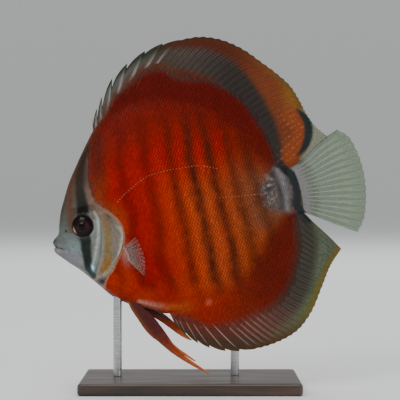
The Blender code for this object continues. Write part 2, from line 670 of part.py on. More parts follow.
def make_pectoral_fin(name, side, surface, pose):
    """A pectoral fin: a fan of rays swung out from the flank behind the gill cover."""
    columns = 2 * PECTORAL_RAYS - 1
    rows = 5
    root = Line(PECTORAL_ROOT).at(np.linspace(0.0, 1.0, columns))
    swing = math.radians(PECTORAL_SWING_DEG)
    normal = np.array([-math.sin(swing), math.cos(swing), 0.0])
    inner = np.zeros((columns, rows, 3))
    outer = np.zeros((columns, rows, 3))
    for i in range(columns):
        place = i / (columns - 1)
        u, v = root[i]
        start = np.array([u, float(body_half(u, v)) + GAP, v])
        length = PECTORAL_LENGTH * (0.62 + 0.38 * math.sin(math.pi * (0.78 - 0.62 * place)))
        fan = math.radians(PECTORAL_UPPER_DEG + (PECTORAL_LOWER_DEG - PECTORAL_UPPER_DEG) * place)
        ahead = np.array([math.cos(swing) * math.cos(fan), math.sin(swing) * math.cos(fan),
                          math.sin(fan)])
        ridge = SOFT_RIDGE if i % 2 == 0 else 0.0
        for j in range(rows):
            t = j / (rows - 1)
            half = fin_half(t, PECTORAL_ROOT_HALF) + ridge * float(blend(t, 0.02, 0.45))
            for face, sign in ((inner, 1.0), (outer, -1.0)):
                if j == 0:
                    root_u = u - sign * half
                    point = np.array([root_u, float(body_half(root_u, v)) + GAP, v])
                else:
                    point = start + ahead * length * t + normal * half * sign
                    point[1] -= PECTORAL_DROOP * t * t
                point[1] *= side
                face[i, j] = point
    edge = FIN_EDGE_HALF * 0.7
    vertices, faces = slab(inner, outer, {"high": edge, "start": edge, "end": edge})
    return closed_object(name, vertices, faces, surface, pose)


def body_cutter():
    """The trunk grown by the gap, which cuts the tops of the rods to the belly."""
    low = between(UNDER_LINE, 16.0, STALK_START + 2.0, 60)
    high = between(BACK_LINE, 16.0, STALK_START + 2.0, 60)
    along = np.linspace(0.0, 1.0, 90)
    across = eased(50, 0.8)
    grid = patch(low, high, cut_line(16.0), cut_line(STALK_START + 2.0), along, across)
    half = body_half(grid[..., 0], grid[..., 1]) + GAP
    grid[:, 0, 1] -= GAP
    grid[:, -1, 1] += GAP
    near, far = two_sides(grid, half)
    vertices, faces = slab(near, far, {"low": RIM_HALF, "high": RIM_HALF})
    return vertices, faces


def posed(points):
    """Points of the fish's frame, in the model's frame."""
    angle = math.radians(PITCH_DEG)
    u, y, v = np.asarray(points).T
    return np.stack([SNOUT_X + u * math.cos(angle) - v * math.sin(angle), y,
                     SNOUT_HEIGHT + u * math.sin(angle) + v * math.cos(angle)], axis=-1)


def make_base(surface):
    """The flat base of the stand, with eased edges."""
    bpy.ops.mesh.primitive_cube_add(size=1.0)
    base = bpy.context.object
    base.name = "stand_base"
    base.data.name = "stand_base"
    for vertex in base.data.vertices:
        vertex.co.x *= BASE_LENGTH * MM
        vertex.co.y *= BASE_WIDTH * MM
        vertex.co.z *= BASE_HEIGHT * MM
    base.location = (BASE_CENTRE_X * MM, 0.0, BASE_HEIGHT * MM * 0.5)
    bevel = base.modifiers.new("eased edges", "BEVEL")
    bevel.width = BASE_EDGE * MM
    bevel.segments = 3
    base.data.shade_smooth()
    base.data.set_sharp_from_angle(angle=math.radians(50.0))
    base.data.materials.append(surface)
    return base


def make_rod(name, x, y, top, surface):
    """A rod that stands on the base and ends in the shape of the body above it."""
    profile = [(0.0, BASE_HEIGHT + GAP), (ROD_RADIUS, BASE_HEIGHT + GAP), (ROD_RADIUS, top), (0.0, top)]
    points, faces = turned(profile, ROD_SIDES)
    upright = np.stack([points[:, 0] + x, y - points[:, 2], points[:, 1]], axis=-1)
    rod = closed_object(name, upright, faces, surface)
    vertices, cutter_faces = body_cutter()
    cutter = closed_object("body_shape", posed(vertices), cutter_faces, None)
    cut(rod, [cutter])
    return rod


def build():
    """Clear the scene and make every piece of the model."""
    for old in list(bpy.data.objects):
        bpy.data.objects.remove(old)
    pose = bpy.data.objects.new("fish_pose", None)
    bpy.context.collection.objects.link(pose)
    pose.location = (SNOUT_X * MM, 0.0, SNOUT_HEIGHT * MM)
    pose.rotation_euler = (0.0, -math.radians(PITCH_DEG), 0.0)
    red = material("red_flank", (0.36, 0.025, 0.006), 0.42)
    grey = material("grey_head", (0.20, 0.20, 0.15), 0.40)
    silver = material("silver_stalk", (0.22, 0.18, 0.18), 0.40)
    dark_fin = material("fin_red_brown", (0.12, 0.02, 0.01), 0.45)
    clear_fin = material("fin_grey_green", (0.30, 0.36, 0.26), 0.40)
    iris = material("eye_dark_red", (0.030, 0.012, 0.012), 0.10)
    plinth = material("stand_black", (0.03, 0.03, 0.032), 0.45)
    metal = material("stand_steel", (0.55, 0.55, 0.55), 0.30)
    olive = material("olive_gill_cover", (0.22, 0.17, 0.07), 0.40)
    cutters = []
    for side in (-1.0, 1.0):
        cutters += [make_socket(side, pose), make_nostril(side, pose), make_cover_recess(side, pose)]
    cut(make_head(grey, pose), cutters)
    make_torso(red, pose)
    make_tail_stalk(silver, pose)
    make_dorsal_fin(dark_fin, pose)
    make_anal_fin(dark_fin, pose)
    make_tail_fin(clear_fin, pose)
    for name, side in (("left", -1.0), ("right", 1.0)):
        make_eye(f"eye_{name}", side, iris, pose)
        make_gill_cover(f"gill_cover_{name}", side, olive, pose)
        make_pectoral_fin(f"pectoral_fin_{name}", side, clear_fin, pose)
    make_pelvic_fin("pelvic_fin_left", -1.0, PELVIC_LEFT_FRONT, PELVIC_LEFT_REAR, dark_fin, pose)
    make_pelvic_fin("pelvic_fin_right", 1.0, PELVIC_RIGHT_FRONT, PELVIC_RIGHT_REAR, dark_fin, pose)
    make_base(plinth)
    make_rod("stand_rod_front", FRONT_ROD_X, 0.0, 60.0, metal)
    make_rod("stand_rod_rear", REAR_ROD_X, REAR_ROD_Y, 70.0, metal)


build()
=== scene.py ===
"""Looks of the discus fish display model.

The fish is drawn in its own frame, in millimetres: u runs back from the snout along the body,
y runs across it, and v runs up. posed() pitches the fish and lifts it over the stand.
The fish's left side faces -Y and its head points to -X. Sizes, outlines and markings come first,
then the shapes, the paint, the pieces, the materials and the studio.
"""

import math

import bpy
import numpy as np
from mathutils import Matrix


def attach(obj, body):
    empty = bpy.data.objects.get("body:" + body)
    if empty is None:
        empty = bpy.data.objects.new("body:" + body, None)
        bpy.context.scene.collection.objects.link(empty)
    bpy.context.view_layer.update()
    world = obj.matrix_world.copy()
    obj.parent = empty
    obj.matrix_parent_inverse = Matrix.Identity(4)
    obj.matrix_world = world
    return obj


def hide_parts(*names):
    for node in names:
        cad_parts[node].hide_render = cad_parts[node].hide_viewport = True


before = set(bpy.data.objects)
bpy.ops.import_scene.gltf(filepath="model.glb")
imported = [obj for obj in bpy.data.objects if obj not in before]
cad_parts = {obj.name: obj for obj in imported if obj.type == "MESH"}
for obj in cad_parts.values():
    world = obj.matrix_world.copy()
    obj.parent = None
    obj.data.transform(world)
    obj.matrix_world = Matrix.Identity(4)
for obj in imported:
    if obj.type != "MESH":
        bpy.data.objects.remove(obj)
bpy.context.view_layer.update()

MM = 0.001
RNG = np.random.default_rng(7)
SIDES = ((-1.0, "left"), (1.0, "right"))

# Pose of the fish over its stand
PITCH = math.radians(12.7)
SNOUT_X = -78.9
SNOUT_HEIGHT = 73.7

# Outlines of the body from the side, as (u, v)
FOREHEAD = [(-0.3, 1.1), (2.4, 3.2), (4.2, 8.4), (6.3, 14.2), (9.4, 20.2), (12.9, 26.6),
            (19.9, 36.5), (26.1, 44.6)]
NAPE = [(26.1, 44.6), (28.6, 47.6), (31.3, 51.0)]
DORSAL_BASE = [(31.3, 51.0), (36.5, 54.9), (44.0, 58.6), (55.4, 60.9), (68.0, 59.7), (82.6, 54.8),
               (94.0, 48.0), (104.0, 37.2), (110.0, 25.9), (114.5, 17.0)]
STALK_TOP = [(114.5, 17.0), (118.5, 12.4), (122.0, 11.0), (125.0, 10.9)]
MOUTH = [(-0.5, -4.8), (-0.3, -3.4), (0.6, -2.2), (0.0, -0.8), (-0.3, 1.1)]
THROAT = [(-0.5, -4.8), (5.0, -10.9), (9.6, -15.6), (13.7, -20.6), (18.2, -26.4)]
BELLY = [(18.2, -26.4), (22.3, -31.8), (29.5, -37.6), (39.8, -42.9), (49.1, -47.6)]
ANAL_BASE = [(49.1, -47.6), (58.0, -47.6), (70.0, -46.4), (82.0, -43.2), (93.0, -37.5),
             (104.1, -28.1), (114.5, -18.2)]
STALK_BOTTOM = [(114.5, -18.2), (118.8, -14.4), (122.9, -12.2), (126.4, -12.3)]
STALK_END = [(126.4, -12.3), (127.3, -6.0), (127.2, 1.0), (126.2, 6.5), (125.0, 10.9)]
GILL_REAR = [(20.2, -23.0), (22.4, -20.4), (25.7, -17.8), (30.2, -14.1), (33.4, -9.6),
             (35.3, -4.8), (35.4, -0.2), (33.7, 4.9), (30.4, 8.9), (27.2, 11.5)]
GILL_MARGIN = [(18.2, -26.4), (21.2, -21.6), (25.7, -17.8), (30.2, -14.1), (33.4, -9.6),
               (35.3, -4.8), (35.4, -0.2), (33.7, 4.9), (30.4, 8.9), (26.4, 12.3),
               (23.6, 17.6), (23.0, 24.5), (24.1, 34.5), (26.1, 44.6)]

# Outlines of the fins, as (u, v)
DORSAL_MARGIN = [(32.4, 57.4), (35.8, 61.8), (39.6, 67.1), (46.6, 74.9), (55.7, 80.7),
                 (64.9, 84.6), (74.5, 86.6), (85.0, 86.6), (94.9, 85.9), (103.8, 82.7),
                 (113.5, 76.0), (122.7, 66.1), (129.0, 58.7), (134.0, 51.4), (136.8, 43.6),
                 (139.3, 34.6), (142.4, 28.0), (146.6, 22.6)]
DORSAL_LAST_RAY = [(125.0, 10.9), (131.2, 13.4), (139.8, 18.6), (146.6, 22.6)]
ANAL_MARGIN = [(50.3, -53.0), (54.4, -59.9), (59.7, -65.5), (70.8, -71.9), (82.2, -74.4),
               (91.0, -74.8), (100.6, -73.7), (110.5, -70.3), (119.2, -62.9), (126.8, -52.3),
               (134.4, -41.4), (141.1, -34.9)]
ANAL_LAST_RAY = [(126.4, -12.3), (130.4, -18.8), (135.6, -26.2), (141.1, -34.9)]
TAIL_MARGIN = [(151.5, -28.4), (155.6, -23.2), (159.2, -13.6), (160.9, -4.0), (161.1, 4.0),
               (159.9, 13.0), (157.2, 20.5), (152.6, 24.6)]
TAIL_TOP_RAY = [(125.0, 10.9), (131.6, 13.6), (141.5, 20.0), (152.6, 24.6)]
TAIL_BOTTOM_RAY = [(126.4, -12.3), (133.0, -16.6), (142.5, -23.0), (151.5, -28.4)]
PELVIC_LEFT_FRONT = [(29.6, -37.9), (31.1, -42.6), (33.1, -47.5), (35.1, -52.4), (37.5, -56.5),
                     (40.4, -59.8), (42.9, -63.1), (45.6, -66.5), (48.4, -69.5), (52.2, -73.2),
                     (57.0, -77.4), (61.8, -81.2)]
PELVIC_LEFT_REAR = [(35.3, -40.6), (39.0, -45.0), (41.5, -49.2), (43.1, -52.7), (44.6, -56.1),
                    (46.2, -60.0), (47.6, -63.5), (49.6, -67.3), (53.0, -71.6), (57.5, -76.5),
                    (61.8, -81.2)]
PELVIC_FORK_FRONT = [(45.0, -58.8), (47.0, -63.4), (49.5, -66.8), (52.6, -70.1), (56.5, -73.7)]
PELVIC_FORK_REAR = [(45.2, -58.2), (47.3, -62.6), (49.8, -66.0), (52.8, -69.3), (56.5, -73.7)]
PELVIC_RIGHT_FRONT = [(31.0, -38.5), (35.8, -43.6), (41.6, -49.0), (44.6, -52.0), (47.4, -55.2),
                      (50.4, -58.7), (53.4, -61.6), (56.6, -63.9)]
PELVIC_RIGHT_REAR = [(36.4, -41.0), (41.3, -43.4), (44.3, -46.0), (47.0, -49.1), (49.4, -52.4),
                     (51.8, -56.1), (54.3, -60.2), (56.6, -63.9)]

# Where a ray that leaves the base at a share of its length meets the margin
DORSAL_LEAN = [(0.0, 0.0), (0.10, 0.14), (0.223, 0.357), (0.45, 0.60), (0.7, 0.83), (1.0, 1.0)]
ANAL_LEAN = [(0.0, 0.0), (0.06, 0.14), (0.14, 0.27), (0.27, 0.42), (0.5, 0.64), (0.8, 0.91),
             (1.0, 1.0)]
RAY_BOW = 1.4

# Outline of the skin behind a spine: how deep its notch is along the way to the next one
NOTCH_PLACES = [0.0, 0.035, 0.09, 0.2, 0.38, 0.6, 0.8, 1.0]
NOTCH_DEPTHS = [0.0, 0.6, 1.0, 0.66, 0.32, 0.12, 0.03, 0.0]

# Half thickness of the body along its length, and the level where it is thickest
HALF_WIDTHS = [(-0.6, 2.3), (2.0, 3.9), (8.0, 5.7), (16.0, 7.6), (26.0, 9.6), (36.0, 10.6),
               (48.0, 10.7), (62.0, 9.9), (80.0, 8.3), (98.0, 6.3), (112.0, 4.6), (127.5, 3.0)]
WIDEST_LEVELS = [(-0.6, -1.8), (10.0, -1.0), (22.0, -2.0), (36.0, -4.0), (60.0, -2.0),
                 (100.0, 0.0), (127.5, -0.7)]
RIM_HALF = 0.6
FIN_ROOT_HALF = 1.7
FIN_EDGE_HALF = 0.27
STALK_END_HALF = 2.0

# Scales of the flank: how far the skin lies under them, and the rows and columns of their
# staggered grid on each side of its middle, with how far it reaches
SCALE_DEPTH = 0.12
SCALE_ROWS = 62
SCALE_COLUMNS = 41
SCALES_MIDDLE = (72.0, 5.0)
SCALES_REACH = (63.0, 80.0)
SCALES_PER_PIECE = 2900

# Scales of the face, with the rows' pitch as a share of the columns', and of the lateral line
FACE_PITCH = 0.86
FACE_SQUEEZE = 0.82
# how strongly the face scales show their painted shading and dark outlines
FACE_CONTRAST = 0.35
PORE_SPACING = 1.55

# Points across the skin, along its head and its trunk, and outwards on the tail and median fins
SKIN_COLUMNS = 300
HEAD_ROWS = 160
TRUNK_ROWS = 200
FIN_ROWS = 72

# Fins: where the spines stand, as shares of the base, how deep the skin is notched behind them, as
# shares of the fin's height, and how many soft rays follow; then the sizes of the paired fins
DORSAL_SPINES = [0.0, 0.025, 0.055, 0.102, 0.141, 0.177, 0.213, 0.248]
DORSAL_NOTCHES = [0.62, 0.58, 0.42, 0.24, 0.11, 0.05, 0.03]
DORSAL_SOFT = 30
ANAL_SPINES = [0.0, 0.015, 0.030, 0.059, 0.089, 0.135, 0.182, 0.239]
ANAL_NOTCHES = [0.14, 0.13, 0.11, 0.08, 0.06, 0.045, 0.03]
ANAL_SOFT = 26
TAIL_RAYS = 16
PECTORAL_RAYS = 11
PELVIC_RAYS = 5
PECTORAL_ROOT = [(34.6, -9.6), (35.6, -13.2), (35.9, -17.2)]
PECTORAL_LENGTH = 20.0
PECTORAL_SWING = math.radians(66.0)
PECTORAL_UPPER = math.radians(12.0)
PECTORAL_LOWER = math.radians(-30.0)
PECTORAL_DROOP = 2.2
PECTORAL_ROOT_HALF = 0.8
PELVIC_SIDE = 2.2
PELVIC_SPLAY = 3.4
PELVIC_ROOT_HALF = 0.8

# Head
EYE_PLACE = (16.2, 5.2)
EYE_RADIUS = 5.3
EYE_TURN = math.radians(11.0)
EYE_DOME = 1.5
MOUTH_FRONT = (0.6, -2.3)
MOUTH_CORNER = (5.4, -5.0)
NOSTRIL_PLACE = (7.3, 4.6)
HEAD_PORES = [(7.8, 9.4), (9.6, 13.6), (12.2, 17.6), (14.8, 22.2), (11.4, 0.2), (10.6, -4.6),
              (12.0, -9.8), (14.8, -14.6), (20.8, 12.6), (23.0, 14.6)]
PREOPERCLE = [(25.4, 12.0), (25.6, 6.6), (24.9, 0.0), (22.9, -7.6), (19.9, -14.8), (16.2, -19.8)]
JAW_CREASE = [(2.0, 3.2), (4.4, 1.8), (6.4, -1.2), (7.2, -4.8), (6.4, -8.0)]
CHIN_FOLD = [(4.6, -5.6), (7.6, -8.4), (11.0, -11.6), (14.6, -16.6)]
CHEEK_SWELL = (17.0, -9.0)
FOLD_CENTRE = (22.0, 2.0)
FOLD_COUNT = 46
HEAD_RELIEF_END = 42.0
HEAD_PAINT_END = 40.0

# Markings, as (u, v): the edges of the red, the grey band and the dark bars
RING_CENTRE = (72.0, 3.0)
RED_EDGE = [(33.7, 52.3), (36.4, 55.3), (39.8, 58.7), (43.5, 63.6), (49.7, 68.0), (55.9, 72.3),
            (62.9, 75.9), (70.8, 76.3), (78.3, 70.3), (85.4, 67.2), (92.5, 64.0), (100.1, 58.2),
            (106.4, 51.5), (111.3, 43.1), (115.2, 32.9), (117.2, 23.1), (118.2, 14.0),
            (121.5, 1.0), (123.2, -12.7), (122.4, -20.8), (120.6, -30.8), (116.9, -40.4),
            (111.2, -49.5), (103.6, -55.6), (94.5, -58.8), (85.3, -60.4), (74.8, -61.1),
            (64.8, -58.9), (58.1, -54.2), (50.0, -50.0)]
BAND_EDGE = [(33.7, 54.3), (49.7, 76.0), (62.9, 85.0), (78.5, 82.8), (88.5, 80.6), (98.1, 77.3),
             (106.9, 70.2), (112.9, 62.0), (117.5, 52.2), (120.6, 43.1), (122.4, 32.3),
             (122.4, 20.8), (122.2, 13.1), (126.0, 1.0), (129.6, -12.7), (130.0, -20.8),
             (128.6, -32.0), (124.0, -43.4), (117.6, -54.5), (108.6, -62.0), (98.0, -66.4),
             (86.0, -68.0), (74.8, -67.0), (64.8, -63.0), (58.1, -57.2), (50.0, -52.0)]
BARS = [[(31.8, 46.5), (31.1, 36.2), (29.4, 24.1), (29.0, 17.9)],
        [(44.7, 45.7), (40.6, 27.8), (40.9, 15.3), (41.2, 2.7), (39.9, -3.3), (38.3, -21.7),
         (43.1, -35.2)],
        [(55.6, 43.2), (53.9, 31.1), (54.3, 12.2), (53.8, -6.4), (51.1, -18.3), (52.9, -31.2),
         (54.0, -37.7)],
        [(67.9, 40.4), (66.3, 28.3), (66.2, 9.6), (66.1, -9.2), (65.4, -21.5), (64.8, -33.9),
         (65.4, -40.2)],
        [(78.7, 44.2), (76.2, 26.1), (76.1, 7.3), (76.1, -11.4), (75.9, -23.9), (75.7, -36.3),
         (76.3, -42.7)],
        [(86.3, 36.3), (86.1, 23.8), (86.0, 5.1), (87.0, -13.9), (87.3, -26.4), (86.1, -38.7),
         (87.2, -45.2)],
        [(96.3, 27.8), (95.6, 15.4), (95.9, 2.9), (97.4, -16.2), (97.7, -28.8), (98.9, -41.6)],
        [(104.4, 19.7), (106.2, 6.8), (106.5, -5.8), (108.3, -18.7)]]
BAR_DEPTHS = (0.7, 0.85, 0.9, 1.0, 1.15, 1.15, 0.85, 0.8)
LATERAL_UPPER = [(35.7, 12.8), (40.1, 16.0), (44.8, 18.5), (48.9, 20.7), (54.6, 22.6), (59.9, 23.0),
                 (66.1, 23.1), (72.8, 22.6), (80.5, 22.0), (86.2, 19.6), (89.0, 18.5)]
LATERAL_LOWER = [(85.8, 4.1), (91.9, 3.3), (98.4, 2.3), (108.1, 1.2)]
EYE_BAR = [(30.9, 48.0), (26.8, 43.0), (22.9, 37.7), (20.7, 32.7), (19.7, 28.4), (18.8, 23.4),
           (18.3, 18.3), (18.1, 12.8), (16.6, 5.3), (16.2, -0.7), (15.6, -5.1), (15.0, -9.5),
           (14.7, -13.3), (14.4, -16.6), (15.6, -20.5)]
EYE_BAR_HALVES = [0.8, 1.3, 1.8, 2.1, 2.3, 2.4, 2.5, 3.0, 3.2, 3.0, 2.8, 2.5, 2.2, 1.9, 1.5]
CHEEK_LINE = [(23.5, 10.6), (24.3, 7.8), (24.1, 4.0), (23.1, -0.4), (21.7, -4.6), (20.2, -8.2),
              (18.6, -11.7), (17.3, -14.0), (16.5, -16.5)]
# Middle of the bright blue-white spot on the cheek, a painted highlight
CHEEK_HIGHLIGHT = (16.5, -16.3)
OLIVE_BAND = [(26.6, 7.3), (27.8, 3.1), (27.8, -1.4), (27.2, -5.9), (26.4, -9.6), (25.1, -13.2),
              (23.5, -16.8), (21.4, -18.9)]
COVER_EDGE = [(30.9, 3.0), (32.7, 1.7), (34.4, 0.0), (35.1, -2.4), (33.8, -6.1), (32.1, -10.2),
              (30.2, -14.4), (26.5, -17.8), (22.4, -20.4), (17.5, -21.9)]
THROAT_SPOT = (19.2, -24.2)
JAW_STREAK = [(1.5, -3.3), (4.7, -6.3), (8.0, -9.0), (11.2, -12.0)]
CRESCENT = [(134.8, 38.9), (136.8, 35.8), (138.3, 32.5), (138.3, 27.7), (136.6, 22.9), (133.7, 19.0),
            (130.5, 16.4)]
BLACK_BAR = [(121.0, 14.0), (122.1, 10.6), (124.1, 8.2), (125.3, 3.5), (125.4, -1.8), (124.8, -6.1),
             (124.4, -8.9), (125.6, -12.8), (127.5, -16.8)]
STALK_PATCH = [(117.0, 15.0), (110.5, 10.0), (106.4, 3.5), (106.2, -2.0), (108.8, -8.0), (114.8, -11.2),
               (121.8, -12.2)]
PALE_BAND = [(118.4, 11.8), (119.6, 4.8), (119.8, -2.7), (118.6, -9.9)]
BELLY_STREAK = [(33.6, -37.4), (38.4, -40.6), (44.9, -44.0), (52.1, -46.4), (59.6, -47.4), (67.5, -47.4)]
PINK_SPOT = (69.7, -46.4)
CHEEK_PALE = (9.5, -5.5)
COVER_SHADOW = (29.5, 7.4)
BROW_SPOT = (21.3, 10.4)
UPPER_LIP = (0.2, 1.2)
LIP_CORNER = (0.7, -1.9)
LOWER_LIP = (1.2, -4.4)
STALK_SHADOW = [(115.5, 10.7), (117.0, 3.0), (117.4, -2.0), (116.0, -8.0)]
BLACK = (30, 34, 36)

# The OFBake map: its units for a millimetre, and half the size of a scale's patch
UNWRAP_SCALE = 0.0045
PATCH_SIZE = 0.0015

# The photo's width in pixels, and in millimetres the size of a pixel on the fish and the sensor's width
PHOTO_PIXELS = 400
PIXEL_SIZE = 0.508
SENSOR_WIDTH = 36.0

# The camera's place in metres
CAMERA_X = -0.0052
CAMERA_HEIGHT = 0.0955
CAMERA_DISTANCE = 0.8

# The lights: name, place, aim, size and power
FISH_MIDDLE = (0.0, 0.0, 0.09)
LIGHTS = (("key", (-0.55, -0.80, 0.70), FISH_MIDDLE, 0.5, 4.6),
          ("fill", (0.7, -0.7, 0.35), FISH_MIDDLE, 0.6, 1.5),
          ("top", (0.05, 0.0, 1.1), FISH_MIDDLE, 0.7, 3.6),
          ("rear", (0.2, 1.5, 1.6), (0.2, 1.49, 0.0), 1.2, 18.0))


class Line:
    """A smooth line through a few points, read by the share of its length."""

    def __init__(self, points, steps=20):
        points = np.array(points, dtype=float)
        knots = np.concatenate(([0], np.cumsum(np.linalg.norm(np.diff(points, axis=0), axis=1))))
        slopes = np.gradient(points, knots, axis=0)
        dense = []
        for i in range(len(points) - 1):
            span = knots[i + 1] - knots[i]
            for step in range(steps):
                t = step / steps
                dense.append((2 * t ** 3 - 3 * t ** 2 + 1) * points[i]
                             + (t ** 3 - 2 * t ** 2 + t) * span * slopes[i]
                             + (3 * t ** 2 - 2 * t ** 3) * points[i + 1]
                             + (t ** 3 - t ** 2) * span * slopes[i + 1])
        dense.append(points[-1])
        self.dense = np.array(dense)
        lengths = np.linalg.norm(np.diff(self.dense, axis=0), axis=1)
        self.length = lengths.sum()
        self.shares = np.concatenate(([0], np.cumsum(lengths))) / self.length

    def at(self, share):
        """The point at a share of the length, or the points at many."""
        columns = [np.interp(share, self.shares, column) for column in self.dense.T]
        return np.stack(columns, axis=-1)

    def value(self, first):
        """The second coordinate as a function of the first."""
        return np.interp(first, self.dense[:, 0], self.dense[:, 1])

    def way(self, u, v, pieces=70):
        """Signed distance of points to the line, positive on its left, and the nearest share."""
        shares = np.linspace(0, 1, pieces + 1)
        knots = self.at(shares)
        nearest = np.full(np.shape(u), 1e9)
        sign = np.ones(np.shape(u))
        share = np.zeros(np.shape(u))
        for k in range(pieces):
            run = knots[k + 1] - knots[k]
            du, dv = u - knots[k, 0], v - knots[k, 1]
            t = np.clip((du * run[0] + dv * run[1]) / (run @ run), 0, 1)
            distance = np.hypot(du - t * run[0], dv - t * run[1])
            closer = distance < nearest
            nearest = np.where(closer, distance, nearest)
            sign = np.where(closer, np.sign(run[0] * dv - run[1] * du), sign)
            share = np.where(closer, (k + t) / pieces, share)
        return nearest * sign, share


def joined(*lines):
    """One line through the points of several that follow each other."""
    points = list(lines[0])
    for line in lines[1:]:
        points += line[1:]
    return Line(points)


def blend(value, low, high):
    """0 below low, 1 above high and smooth between."""
    t = np.clip((value - low) / (high - low), 0, 1)
    return t * t * (3 - 2 * t)


def bell(value, width):
    """1 at 0, falling smoothly to both sides over a width."""
    return np.exp(-(value / width) ** 2)


BACK_LINE = joined(FOREHEAD, NAPE, DORSAL_BASE, STALK_TOP)
UNDER_LINE = joined(THROAT, BELLY, ANAL_BASE, STALK_BOTTOM)
WIDTH_LINE = Line(HALF_WIDTHS)
LEVEL_LINE = Line(WIDEST_LEVELS)
MARGIN_LINE = Line(GILL_MARGIN)
GILL_LINE = Line(GILL_REAR)
PREOPERCLE_LINE = Line(PREOPERCLE)


def rim_half(u, upper):
    """Half thickness of the body at its edge: thin on the forehead and belly, wider under a fin."""
    start = DORSAL_BASE[0][0] if upper else ANAL_BASE[0][0]
    under_fin = blend(u, start - 3, start + 12) * (1 - blend(u, 112, 120) * 0.35)
    return RIM_HALF + (FIN_ROOT_HALF - RIM_HALF) * under_fin


def body_half(u, v):
    """Half thickness of the body at a point seen from the side."""
    top = BACK_LINE.value(u)
    bottom = UNDER_LINE.value(u)
    level = LEVEL_LINE.value(u)
    width = WIDTH_LINE.value(u)
    upper = v > level
    reach = np.where(upper, (v - level) / (top - level), (level - v) / (level - bottom))
    reach = np.clip(reach, 0, 1)
    hollow = np.where(upper, 0.52 + 0.22 * blend(u, 12, 45), 0.50 + 0.18 * blend(u, 30, 70))
    hollow = hollow - 0.22 * blend(u, 108, 124)
    lens = width * (1 - reach ** 2.1) ** hollow
    rim = np.where(upper, rim_half(u, True), rim_half(u, False))
    half = np.sqrt(lens ** 2 + rim ** 2 * (1 - np.minimum(lens / width, 1) ** 2))
    close = blend(u, 118, 127)
    return half + (np.minimum(half, STALK_END_HALF) - half) * close


def at_chosen(chosen, function, u, v):
    """Values of a function at the chosen points, and 0 at the others."""
    values = np.zeros(np.shape(u))
    if chosen.any():
        values[chosen] = function(u[chosen], v[chosen])
    return values


def beyond_body(u, v):
    """Distance of points outside the body's outline, above or below it."""
    upper = v > LEVEL_LINE.value(u)
    above = BACK_LINE.way(u, v, 160)[0]
    below = -UNDER_LINE.way(u, v, 160)[0]
    return np.maximum(np.where(upper, above, below), 0)


def fin_surface(u, v):
    """Half thickness and middle of the dorsal and anal fins outside the body's outline."""
    angle, radius = ring(u, v)
    beyond = at_chosen(radius > ring_radius(BODY_RING, angle) - 3, beyond_body, u, v)
    upper = v > LEVEL_LINE.value(u)
    root = np.where(upper, rim_half(u, True), rim_half(u, False))
    half = FIN_EDGE_HALF + (root - FIN_EDGE_HALF) * np.exp(-(beyond / 12) ** 1.3)
    sway = np.where(upper, -1.5, -1.2) * np.minimum(beyond / 28, 1.2) ** 2 * blend(u, 70, 140)
    return half, sway, beyond


def surface(u, v):
    """Half thickness and middle of the fish anywhere in its outline."""
    half, sway, beyond = fin_surface(u, v)
    body = body_half(u, v) + at_chosen(u < HEAD_RELIEF_END, head_relief, u, v)
    return np.where(beyond <= 0, body, half), np.where(beyond <= 0, 0, sway)


def posed(points):
    """Points of the fish's frame in millimetres, in the model's frame in metres."""
    u, y, v = np.asarray(points).T
    return MM * np.stack([SNOUT_X + u * math.cos(PITCH) - v * math.sin(PITCH), y,
                          SNOUT_HEIGHT + u * math.sin(PITCH) + v * math.cos(PITCH)], axis=-1)


def patch(low, high, start, end, along, across):
    """Grid over four lines: low and high run along it, start and end join low to high."""
    if np.ndim(along) == 1:
        along = np.asarray(along)[:, None]
    along, across = np.broadcast_arrays(along, across)
    s = along[..., None]
    t = across[..., None]
    sides = ((1 - t) * low.at(along) + t * high.at(along)
             + (1 - s) * start.at(across) + s * end.at(across))
    corners = ((1 - s) * (1 - t) * low.at(0) + s * (1 - t) * low.at(1)
               + (1 - s) * t * high.at(0) + s * t * high.at(1))
    return sides - corners


def shell(near, far, bulges, steps):
    """Points and quads of two like grids closed by a round rim.

    A grid holds x, y, z and any further values of its points. bulges gives how far the rim
    stands out on the edges named low, high, start and end.
    """
    rows, columns = near.shape[:2]
    count = rows * columns
    index = np.arange(count).reshape(rows, columns)
    quads = np.stack([index[:-1, :-1], index[1:, :-1], index[1:, 1:], index[:-1, 1:]], -1).reshape(-1, 4)
    around = [(i, 0, i, 1, "low", i) for i in range(rows - 1)]
    around += [(rows - 1, j, rows - 2, j, "end", j) for j in range(columns - 1)]
    around += [(i, columns - 1, i, columns - 2, "high", i) for i in range(rows - 1, 0, -1)]
    around += [(0, j, 1, j, "start", j) for j in range(columns - 1, 0, -1)]
    border = np.array([(i, j) for i, j, *_ in around])
    inner = np.array([(i, j) for _, _, i, j, *_ in around])
    middle = (near + far) * 0.5
    outward = (middle[border[:, 0], border[:, 1]] - middle[inner[:, 0], inner[:, 1]])[:, :3]
    outward /= np.maximum(np.linalg.norm(outward, axis=1), 1e-9)[:, None]
    bulge = np.array([np.broadcast_to(bulges.get(edge, 0), (max(rows, columns),))[place]
                      for *_, edge, place in around])
    layers = [index[border[:, 0], border[:, 1]]]
    points = [near.reshape(count, -1), far.reshape(count, -1)]
    total = 2 * count
    a, b = near[border[:, 0], border[:, 1]], far[border[:, 0], border[:, 1]]
    for k in range(1, steps + 1):
        angle = math.pi * k / (steps + 1)
        row = (a + b) * 0.5 - (b - a) * 0.5 * math.cos(angle)
        row[:, :3] += outward * bulge[:, None] * math.sin(angle)
        points.append(row)
        layers.append(np.arange(total, total + len(around)))
        total += len(around)
    layers.append(index[border[:, 0], border[:, 1]] + count)
    walls = []
    for first, second in zip(layers, layers[1:]):
        following, second_following = np.roll(first, -1), np.roll(second, -1)
        walls.append(np.stack([following, first, second, second_following], -1))
    quads = np.concatenate([quads, quads[:, ::-1] + count, *walls])
    return np.concatenate(points), quads


